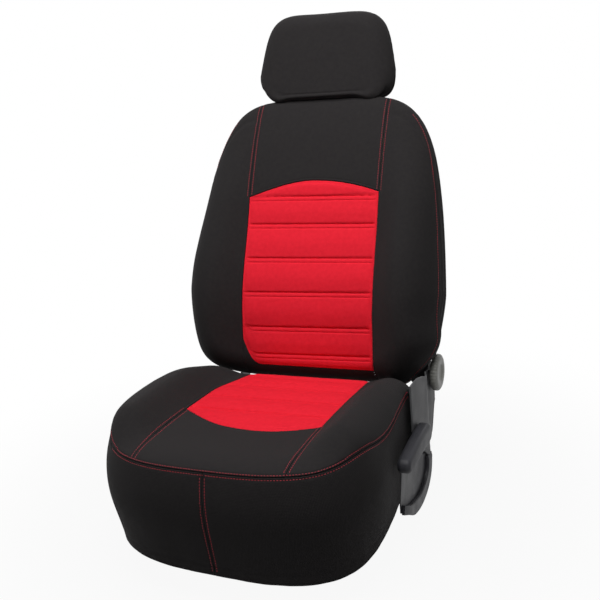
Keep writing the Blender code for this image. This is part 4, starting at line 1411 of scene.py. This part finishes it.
    def build_rear(self) -> None:
        """Black rear panel, open below its hem."""
        wide = self.plan.side(self.hem)
        low = self.plan.angle(wide, self.hem)

        def plan(u: float, v: float) -> Place:
            """Place of a fraction across and up."""
            return patch(
                spread(u),
                lean_out(v),
                lambda t: self.plan.rim(mix(180.0 - low, 120.0, t)),
                lambda t: self.plan.rim(mix(low, 60.0, t)),
                lambda t: (mix(-wide, wide, t), self.hem),
                lambda t: self.plan.rim(mix(120.0, 60.0, t)),
            )

        self.add(
            "back_rear_panel",
            BLACK_CLOTH,
            stations(640.0, 6.0),
            stations(620.0, 6.0),
            plan,
            outer=self.rear_face,
            inner=lambda x, s: self.rear_face(x, s, COVER),
            relief=lambda x, s: -0.9 * bell(s - self.hem - 20.0, 1.8),
            wander=1.5,
            fill=0.3,
        )

    def build_foam(self) -> None:
        """Backrest foam, flat at the back where the wires carry it."""
        inner = COVER + EASE

        def base(x: float, s: float) -> Vector:
            """Rear face of the foam."""
            x, s = self.plan.shrink(x, s, inner + EASE)
            return BACK.at(x, s, self.rim + 2.0)

        def top(x: float, s: float) -> Vector:
            """Front face of the foam."""
            return self.face(x, s, inner, EASE)

        foam_pad("back_foam", self.body, self.plan.round_plan, top, base)

    def sew(self) -> None:
        """Red topstitching up the yoke seams and along the gussets."""
        rows = Stitching("back_stitching", self.body, self.panels)
        seams = (-self.insert_half, self.insert_right)
        for x in (seam + off for seam in seams for off in (-TOPSTITCH, TOPSTITCH)):
            start = self.arch(x) + 3.0
            end = self.plan.edge(x, True) - 1.0
            rows.sew([self.face(x, mix(start, end, lean_out(t))) for t in fractions(50)])
        shrink = 0.984
        for sign in SIDES.values():
            line = []
            for t in fractions(120):
                x, s = self.plan.rim(mix(-42.0, 62.0, t))
                line.append(self.face(sign * x * shrink, self.mid + (s - self.mid) * shrink))
            rows.sew(line)
        rows.finish()

    def build(self) -> None:
        """Builds the cover and its foam, and sews it."""
        self.build_insert()
        self.build_painted_shade_band()
        self.build_yoke()
        self.build_bolsters()
        self.build_rear()
        self.sew()
        self.build_foam()


@dataclass
class Headrest:
    """Headrest cover over its foam, on a bent rod in two guides with a lock button."""

    half: float = 157.0
    mid: float = 734.0
    up: float = 133.0
    down: float = 51.0
    front: float = 42.0
    rear: float = 41.0
    edge: float = 45.0
    rod: float = 6.0
    sleeve: float = 9.0
    bend: float = 30.0
    full: float = 9.0
    sag: float = 19.0

    def __post_init__(self) -> None:
        """Makes the plan's outline."""
        self.plan = Outline(self.half, self.mid, self.up, self.down, 5.0, 4.5, 0.15)

    def face(
        self, x: float, s: float, toward: float, depth: float = 0.0, draw: float = 0.0
    ) -> Vector:
        """Front or rear of the headrest.

        Args:
            x: Place across.
            s: Place up the back.
            toward: -1 for the front, 1 for the rear.
            depth: How deep under the cover's outside.
            draw: How much further in at the outline.

        Returns:
            The place in the seat's frame.
        """
        swell = self.front - 10.0 * (x / self.half) ** 2 if toward < 0.0 else self.rear
        lift = toward * (swell - depth) * self.plan.rise(x, s, self.edge)
        out = self.full * smooth((-x - 20.0) / (self.half - 20.0))
        low = smooth((self.mid - s) / 42.0)
        out -= 14.0 * max(0.0, (self.mid + 2.0 - s) / 53.0) ** 2 * smooth((-x - 60.0) / 80.0)
        b = BACK.head_rim + toward * GAP + lift
        sag = self.sag * smooth((62.0 - b) / 14.0) * smooth((self.mid + 40.0 - s) / 60.0)
        sag += low * (14.0 * bell(x - 134.0, 30.0) + 9.0 * bell(x + 112.0, 26.0))
        sag += 6.0 * low * bell(x - 104.0, 20.0)
        sag -= 5.0 * bell(x + 104.0, 52.0) * smooth((s - self.mid - 60.0) / 50.0)
        x, s = self.plan.shrink(x, s, depth + draw)
        return BACK.at(x - out, s - sag, b)

    def welt(self, x: float, s: float) -> float:
        """Soft roll along the lower front edge, with a crease above it."""
        off = self.plan.inside(x, s)
        ease = smooth((self.mid - 8.0 - s) / 24.0)
        return ease * (2.4 * bell(off - 34.0, 8.0) - 1.2 * bell(off - 50.0, 5.0))

    def build_cover(self) -> None:
        """Front and rear halves, joined along the side seam."""
        steps = fractions(84)
        for name, toward in (("front", -1.0), ("rear", 1.0)):
            node = f"headrest_{name}_panel"
            Panel(
                f"{node}_cloth",
                "headrest",
                BLACK_CLOTH,
                node,
                steps,
                steps,
                self.plan.round_plan,
                lambda x, s, t=toward: self.face(x, s, t),
                lambda x, s, t=toward: self.face(x, s, t, COVER),
                wander=1.0,
                relief=self.welt if toward < 0.0 else None,
                fill=0.8,
            ).build()

    def build_foam(self) -> None:
        """Foam inside the cover."""
        inner = COVER + EASE
        foam_pad(
            "headrest_foam",
            "headrest",
            self.plan.round_plan,
            lambda x, s: self.face(x, s, -1.0, inner, EASE),
            lambda x, s: self.face(x, s, 1.0, inner, EASE),
            count=36,
            wander=0.5,
        )

    def build_rod(self) -> None:
        """Bent support rod: two legs joined by an arched top."""
        high = self.mid + 40.0
        low = BACK.top - 140.0
        corners = [(-1.0, low), (-1.0, high), (1.0, high), (1.0, low)]
        path = [BACK.at(sign * BACK.rod_x, s, BACK.head_rim) for sign, s in corners]
        bar = fillet(path, self.bend, 12)
        round_bar("headrest_rod_bar", "headrest", CHROME, "headrest_rod", bar, self.rod)

    def build_guides(self) -> None:
        """Turned guides with a ferrule that sits down into the cloth, and the button."""
        bore = self.rod + GAP
        head = BACK.top + GAP
        foot = BACK.top - 126.0
        ferrule = [(bore, 8.0), (bore + 1.0, 9.0), (14.0, 9.0), (16.0, 8.2), (17.0, 6.5)]
        ferrule += [(17.0, 0.0), (16.0, -15.0), (self.sleeve, -17.0)]
        profile = [(radius, head + rise) for radius, rise in ferrule]
        profile += [(self.sleeve, foot), (bore, foot)]
        for side, sign in SIDES.items():
            bm = turn_profile(profile, 48)
            stand(bm, BACK.at(sign * BACK.rod_x, 0.0, BACK.head_rim), BACK.up())
            name = f"headrest_guide_{side}"
            settle(bm, f"{name}_ferrule", "backrest", DARK_PLASTIC, [name])
        profile = [(0.0, 9.0), (2.2, 9.0), (2.8, 8.6), (3.0, 7.8), (3.0, 0.0), (0.0, 0.0)]
        bm = turn_profile(profile, 24)
        stand(bm, BACK.at(BACK.rod_x + 12.0, head + 4.5, BACK.head_rim), RIGHTWARD)
        settle(bm, "headrest_button_cap", "button", DARK_PLASTIC, ["headrest_button"])

    def build(self) -> None:
        """Builds the headrest and what carries it."""
        self.build_cover()
        self.build_foam()
        self.build_rod()
        self.build_guides()


@dataclass
class SideHardware:
    """Side trims, lower lip, height lever and handwheel."""

    front: float = 345.0
    rear: float = 582.0
    out: float = 271.0
    step: float = 15.0
    thick: float = 3.0
    seam: float = CUSHION_SEAM
    inner_drop: float = 30.0
    outer_rise: float = 12.0
    lever_y: float = 372.0
    lever_z: float = 188.0
    lever_long: float = 152.0
    lever_thick: float = 27.0
    lip_half: float = 14.0
    lip_deep: float = 8.0
    lip_sink: float = 8.5
    wheel_thick: float = 16.0
    shaft: float = 5.0
    shaft_left: float = -206.9
    boss: float = 26.0
    boss_bore: float = 6.0
    boss_long: float = 38.4
    boss_edge: float = 2.0
    post: float = 8.0
    post_inner: float = 192.05
    post_y: float = 530.0
    post_z: float = 170.0

    def outside(self, y: float) -> float:
        """Outer face of a trim: stepped in beside the recliner."""
        return self.out - self.step * (1.0 - smooth((520.0 - y) / 60.0))

    def top(self, y: float, sign: float) -> float:
        """Upper edge of a trim: lower on the left, and raised at the front on the right."""
        line = ((self.front, 18.0), (430.0, 14.0), (490.0, 0.0), (540.0, -10.0), (self.rear, -40.0))
        raised = self.outer_rise * (1.0 - smooth((y - 390.0) / 65.0))
        return self.seam + follow(line, y) + (raised if sign > 0.0 else -self.inner_drop)

    def bottom(self, y: float) -> float:
        """Lower edge of a trim."""
        middle = ((400.0, -135.0), (470.0, -172.0), (540.0, -160.0))
        line = ((self.front, -95.0), *middle, (self.rear, -97.0))
        return self.seam + follow(line, y)

    def build_trims(self) -> None:
        """Moulded side trims with rolled edges, on their posts."""
        for side, sign in SIDES.items():

            def place(y: float, v: float, depth: float = 0.0, sign: float = sign) -> Vector:
                """Place on a trim at a height fraction and depth."""
                z = mix(self.bottom(y), self.top(y, sign), v)
                return Vector((sign * (self.outside(y) - depth), y, z))

            Panel(
                f"side_trim_{side}_shell",
                "seat",
                TRIM_PLASTIC,
                f"side_trim_{side}",
                stations(253.0, 5.0),
                stations(230.0, 8.0),
                lambda u, v: (mix(self.front, self.rear, u), v),
                place,
                lambda y, v, place=place: place(y, v, self.thick),
                roll=2.2,
                relief=lambda y, v: -0.9 * bell((v - 0.12) * 200.0, 2.2),
                **MOULDED,
            ).build()
            reach = self.outside(self.post_y) - self.thick - GAP
            ends = [Vector((sign * x, self.post_y, self.post_z)) for x in (self.post_inner, reach)]
            name = f"trim_post_{side}"
            round_bar(f"{name}_bar", "seat", DARK_PLASTIC, name, ends, self.post)

    def build_lip(self) -> None:
        """Curved lower lip under the right trim, and the web between the two."""
        start = self.bottom(470.0) - GAP
        corners = [(468.0, 0.0), (461.0, -34.0), (430.0, -56.0)]
        corners += [(380.0, -64.0), (325.0, -54.0), (268.0, -24.0)]
        line = fillet([Vector((0.0, y, start + z)) for y, z in corners], 26.0, 8)

        def place(t: float, v: float) -> Place:
            """Place along and across the lip."""
            k = min(int(t * (len(line) - 1)), len(line) - 2)
            here = line[k].lerp(line[k + 1], t * (len(line) - 1) - k)
            along = (line[min(k + 2, len(line) - 1)] - line[max(k - 1, 0)]).normalized()
            if k == 0:
                along = Vector((0.0, 0.0, -1.0))
            half = self.lip_half * (1.0 - 0.35 * smooth((t - 0.8) / 0.2))
            here = here + Vector((0.0, -along.z, along.y)) * mix(-half, half, v)
            return here.y, here.z

        def face(y: float, z: float, depth: float = 0.0) -> Vector:
            """Outer face of the lip, or a depth under it."""
            return Vector((self.outside(min(y, 455.0)) - depth, y, z))

        Panel(
            "side_lip_shell",
            "seat",
            DARK_PLASTIC,
            "side_lip",
            fractions(90),
            stations(28.0, 3.0),
            place,
            face,
            lambda y, z: face(y, z, self.lip_deep),
            roll=2.4,
            **MOULDED,
        ).build()

        def web_place(t: float, v: float) -> Place:
            """Place along and up the web, whose upper edge runs behind the trim."""
            y, z = place(t, 0.85)
            under = self.bottom(max(y, self.front)) + 8.0
            top = mix(z + 24.0, under, smooth((y - 272.0) / 20.0))
            return y, mix(z, top, v)

        Panel(
            "side_lip_web",
            "seat",
            DARK_PLASTIC,
            None,
            fractions(60),
            fractions(12),
            web_place,
            lambda y, z: face(y, z, self.lip_sink),
            lambda y, z: face(y, z, self.lip_sink + self.thick),
            roll=0.8,
            **MOULDED,
        ).build()

    def build_lever(self) -> None:
        """Height pump lever: a long rounded handle on a hub."""
        hub = 20.0
        tip = 15.0
        centre = Vector((0.0, self.lever_y, self.lever_z))
        end = centre + Vector((0.0, tip - self.lever_long, -3.0))
        outline = [centre + Vector((0.0, -70.0, 2.0 - hub))]
        for middle, radius, first, last in ((centre, hub, -90.0, 90.0), (end, tip, 100.0, 260.0)):
            for t in fractions(14):
                turn = math.radians(mix(first, last, t))
                outline.append(middle + radius * Vector((0.0, math.cos(turn), math.sin(turn))))
            if middle is centre:
                outline.append(centre + Vector((0.0, -70.0, hub - 1.0)))
        bm = bmesh.new()
        inside = self.outside(self.lever_y) + GAP
        face = bm.faces.new([bm.verts.new((inside, p.y, p.z)) for p in outline])
        made = bmesh.ops.extrude_face_region(bm, geom=[face])
        moved = [v for v in made["geom"] if isinstance(v, bmesh.types.BMVert)]
        bmesh.ops.translate(bm, vec=(self.lever_thick, 0.0, 0.0), verts=moved)
        bmesh.ops.recalc_face_normals(bm, faces=bm.faces[:])
        caps = [f for f in bm.faces if len(f.verts) > 6]
        rims = {e for f in caps for e in f.edges}
        bmesh.ops.bevel(
            bm,
            geom=list(rims),
            offset=8.5,
            affect="EDGES",
            segments=6,
            profile=0.5,
            material=-1,
            clamp_overlap=True,
        )
        settle(bm, "height_lever_handle", "lever", DARK_PLASTIC, ["height_lever"])

    def build_wheel(self) -> None:
        """Recliner handwheel with grip ribs round its rim, and its cross shaft."""
        thick = self.wheel_thick
        sunk = [(0.0, 3.5), (8.0, 3.5), (15.0, 3.0), (17.5, 1.6), (20.0, 0.0), (32.0, 0.0)]
        sunk += [(35.0, 0.7), (38.0, 2.6), (39.6, 5.0), (40.0, 8.0)]
        profile = [(radius, thick - depth) for radius, depth in sunk]
        profile += [(39.8, 4.0), (38.6, 1.2), (36.5, 0.0), (0.0, 0.0)]
        bm = turn_profile(profile, 180)
        for vert in bm.verts:
            out = math.hypot(vert.co.x, vert.co.y)
            grip = smooth((out - 33.0) / 4.0)
            cut = 0.9 * grip * (0.5 - 0.5 * math.cos(36.0 * math.atan2(vert.co.y, vert.co.x)))
            if out > 1.0:
                vert.co.xy *= 1.0 - cut / out
        inside = self.out - self.step + 5.0
        hinge = BACK.hinge()
        stand(bm, Vector((inside, hinge.y, hinge.z)), RIGHTWARD)
        settle(bm, "recline_wheel_grip", "wheel", PALE_PLASTIC, ["recline_wheel"])
        ends = [Vector((x, hinge.y, hinge.z)) for x in (self.shaft_left, inside - GAP)]
        round_bar("recline_shaft_bar", "wheel", PAINTED_STEEL, "recline_shaft", ends, self.shaft)
        # A boss inside the trim surrounds the shaft, about the same axis
        face = self.outside(hinge.y) - self.thick - GAP
        end, edge = self.boss_long, self.boss_edge
        profile = [(self.boss_bore, 0.0), (self.boss - edge, 0.0), (self.boss, edge)]
        profile += [(self.boss, end - edge), (self.boss - edge, end), (self.boss_bore, end)]
        bm = turn_profile(profile, 72)
        stand(bm, Vector((face - end, hinge.y, hinge.z)), RIGHTWARD)
        settle(bm, "recline_hub_boss", "seat", DARK_PLASTIC)

    def build(self) -> None:
        """Builds the hardware on both sides."""
        self.build_trims()
        self.build_lip()
        self.build_lever()
        self.build_wheel()


@dataclass
class Underframe:
    """Steel under the covers: plates keep their solids, round bars are made smooth."""

    rail_x: float = 180.0
    arm_out: float = 187.35
    link: float = 95.0
    link_angle: float = math.radians(25.0)
    link_z: float = 66.0
    links: tuple[float, float] = (285.0, 520.0)
    member_out: float = 191.7
    pan: float = PAN_TOP
    carriage_top: float = 48.0
    carriage_front: float = 262.0
    back_tube: float = 202.05
    wire: float = 2.0

    def dress_plates(self) -> None:
        """Paints the pressed plates, rails and bars."""
        PAINTED_STEEL.dress("floor_bar_front", "floor_bar_rear", "seat_pan")
        for side in SIDES:
            PAINTED_STEEL.dress(f"lower_rail_{side}", f"upper_rail_{side}", f"link_bracket_{side}")
            PAINTED_STEEL.dress(f"front_lift_arm_{side}", f"rear_lift_arm_{side}")
            PAINTED_STEEL.dress(f"seat_member_{side}", f"recliner_{side}", f"back_member_{side}")

    def cross(self, node: str, body: str, half: float, middle: Vector, radius: float) -> None:
        """Straight bar across the seat in place of a CAD node."""
        ends = [middle - Vector((half, 0.0, 0.0)), middle + Vector((half, 0.0, 0.0))]
        round_bar(f"{node}_bar", body, PAINTED_STEEL, node, ends, radius)

    def build_tubes(self) -> None:
        """Lift tubes and pins, cushion rear tube and backrest tubes."""
        for name, y in zip(("front", "rear"), self.links):
            low = Vector((0.0, y, self.link_z))
            turn = Vector((0.0, -math.cos(self.link_angle), math.sin(self.link_angle)))
            self.cross(f"{name}_lift_tube", f"{name}_lift", self.arm_out - GAP, low, 8.0)
            high = low + turn * self.link
            self.cross(f"{name}_lift_pin", "seat", self.member_out + 5.0, high, 6.0)
        tube = Vector((0.0, BACK.y + 6.0, self.pan - 10.0 - GAP))
        self.cross("seat_rear_tube", "seat", self.arm_out, tube, 10.0)
        top = BACK.at(0.0, BACK.top - 116.0, 98.35)
        self.cross("back_top_tube", "backrest", self.back_tube, top, 9.0)
        low = BACK.at(0.0, 112.0, 92.0)
        self.cross("back_low_tube", "backrest", self.back_tube, low, 11.0)

    def build_wires(self) -> None:
        """Suspension wires and the slide release bar, with rounded bends."""
        run = []
        for k in range(14):
            ends = [302.35, BACK.y - 4.4]
            for y in ends if k % 2 else ends[::-1]:
                run.append(Vector((mix(-140.0, 140.0, k / 13.0), y, self.pan - 2.35)))
        path = fillet(run, 10.0)
        round_bar("seat_spring_wire", "seat", PAINTED_STEEL, "seat_spring", path, self.wire)
        run = []
        for k in range(12):
            s = mix(160.0, 430.0, k / 11.0)
            for sign in (-1.0, 1.0) if k % 2 else (1.0, -1.0):
                run.append(BACK.at(sign * 200.05, s, 64.35))
        path = fillet(run, 11.0)
        round_bar("back_spring_wire", "backrest", PAINTED_STEEL, "back_spring", path, self.wire)
        z = self.carriage_top + GAP + 5.0
        wide = self.rail_x - 8.0
        rear = self.carriage_front + 3.0
        corners = [(-wide, rear), (-wide, rear - 175.0), (wide, rear - 175.0), (wide, rear)]
        path = fillet([Vector((x, y, z)) for x, y in corners], 34.0, 10)
        round_bar("slide_release_handle", "release", PAINTED_STEEL, "slide_release_bar", path, 5.0)

    def build(self) -> None:
        """Dresses the plates and builds the bars and wires."""
        self.dress_plates()
        self.build_tubes()
        self.build_wires()


@dataclass
class Studio:
    """Camera at the photographed angle, a pale floor and soft studio light."""

    azimuth: float = 23.35
    pitch: float = 16.36
    roll: float = -5.17
    distance: float = 1833.9
    lens: float = 54.49
    target: tuple[float, float, float] = (39.4, 381.8, 453.9)

    def build_camera(self) -> None:
        """Sets the camera on its line of sight."""
        a, e, r = (math.radians(v) for v in (self.azimuth, self.pitch, self.roll))
        back = Vector((math.sin(a) * math.cos(e), -math.cos(a) * math.cos(e), math.sin(e)))
        right = Vector((math.cos(a), math.sin(a), 0.0))
        up = back.cross(right)
        across = right * math.cos(r) + up * math.sin(r)
        data = bpy.data.cameras.new("camera")
        data.lens = self.lens
        data.clip_start = 0.05
        camera = link_new("camera", data)
        turn = Matrix((across, back.cross(across), back)).transposed().to_4x4()
        spot = TO_MODEL @ (Vector(self.target) + back * self.distance)
        camera.matrix_world = Matrix.Translation(spot) @ turn
        bpy.context.scene.camera = camera

    def white_rays(self, tree: bpy.types.NodeTree) -> bpy.types.NodeSocket:
        """1 for the rays that see the background: camera, mirror and glass rays."""
        path = add_node(tree, "ShaderNodeLightPath")
        seen = {0: path.outputs["Is Camera Ray"], 1: path.outputs["Is Glossy Ray"]}
        first = add_node(tree, "ShaderNodeMath", seen, operation="MAXIMUM")
        seen = {0: first.outputs[0], 1: path.outputs["Is Transmission Ray"]}
        return add_node(tree, "ShaderNodeMath", seen, operation="MAXIMUM").outputs[0]

    def build_floor(self) -> None:
        """Pale floor that shows white and keeps a soft shadow."""
        bm = bmesh.new()
        bmesh.ops.create_grid(bm, x_segments=4, y_segments=4, size=9.0)
        bmesh.ops.translate(bm, vec=(0.0, 0.0, -0.0005), verts=bm.verts[:])
        mesh = bpy.data.meshes.new("floor_sheet")
        bm.to_mesh(mesh)
        bm.free()
        floor = link_new("floor_sheet", mesh)
        material = bpy.data.materials.new("white_paper_floor")
        material.use_nodes = True
        tree = material.node_tree
        tree.nodes.clear()
        paper = add_node(tree, "ShaderNodeBsdfDiffuse", {"Color": linear("#8a8a8a")})
        glow = add_node(tree, "ShaderNodeEmission", {"Color": WHITE, "Strength": 1.0})
        # The paper's own shade shows near the seat and runs out to plain white
        spot = add_node(tree, "ShaderNodeTexCoord").outputs["Object"]
        far = add_node(tree, "ShaderNodeVectorMath", {0: spot}, operation="LENGTH").outputs["Value"]
        fade = {"Value": far, "From Min": 0.3, "From Max": 1.1, "To Min": 0.93, "To Max": 1.0}
        fade = add_node(tree, "ShaderNodeMapRange", fade, interpolation_type="SMOOTHSTEP")
        share = {0: self.white_rays(tree), 1: fade.outputs[0]}
        share = add_node(tree, "ShaderNodeMath", share, operation="MULTIPLY").outputs[0]
        mixed = {0: share, 1: paper.outputs[0], 2: glow.outputs[0]}
        both = add_node(tree, "ShaderNodeMixShader", mixed)
        add_node(tree, "ShaderNodeOutputMaterial", {"Surface": both.outputs[0]})
        mesh.materials.append(material)

    def lamp(self, name: str, spot: Vector, size: float, power: float) -> None:
        """Square soft light that points at the seat.

        Args:
            name: The lamp's name.
            spot: Its place in metres.
            size: Its side in metres.
            power: Its power in watts.
        """
        data = bpy.data.lights.new(name, "AREA")
        data.size = size
        data.energy = power
        lamp = link_new(name, data)
        aim = (Vector((0.0, 0.0, 0.45)) - spot).to_track_quat("-Z", "Y")
        lamp.matrix_world = Matrix.Translation(spot) @ aim.to_matrix().to_4x4()

    def build_light(self) -> None:
        """Large light overhead in front, low fills at the sides and rear, and a white surround."""
        self.lamp("overhead_front", Vector((0.1, -0.6, 2.05)), 1.2, 38.0)
        self.lamp("fill_left", Vector((-2.2, -1.2, 1.4)), 1.6, 1.5)
        self.lamp("fill_right", Vector((2.3, -0.4, 1.5)), 1.6, 3.5)
        self.lamp("fill_rear", Vector((-0.5, 2.6, 1.5)), 1.8, 15.0)
        world = bpy.data.worlds.new("studio")
        bpy.context.scene.world = world
        world.use_nodes = True
        tree = world.node_tree
        tree.nodes.clear()
        ray = self.white_rays(tree)
        strength = {"Value": ray, "To Min": 0.06, "To Max": 1.0}
        level = add_node(tree, "ShaderNodeMapRange", strength)
        sky = {"Color": WHITE, "Strength": level.outputs[0]}
        shade = add_node(tree, "ShaderNodeBackground", sky)
        add_node(tree, "ShaderNodeOutputWorld", {"Surface": shade.outputs[0]})
        bpy.context.scene.view_settings.view_transform = "Standard"

    def build(self) -> None:
        """Builds the camera, floor and light."""
        self.build_camera()
        self.build_floor()
        self.build_light()


def main() -> None:
    """Builds the studio and every sub-assembly in order."""
    logging.basicConfig(level=logging.INFO, format="%(message)s")
    Studio().build()
    Underframe().build()
    SideHardware().build()
    CushionCover().build()
    BackrestCover().build()
    Headrest().build()


if __name__ == "__main__":
    main()
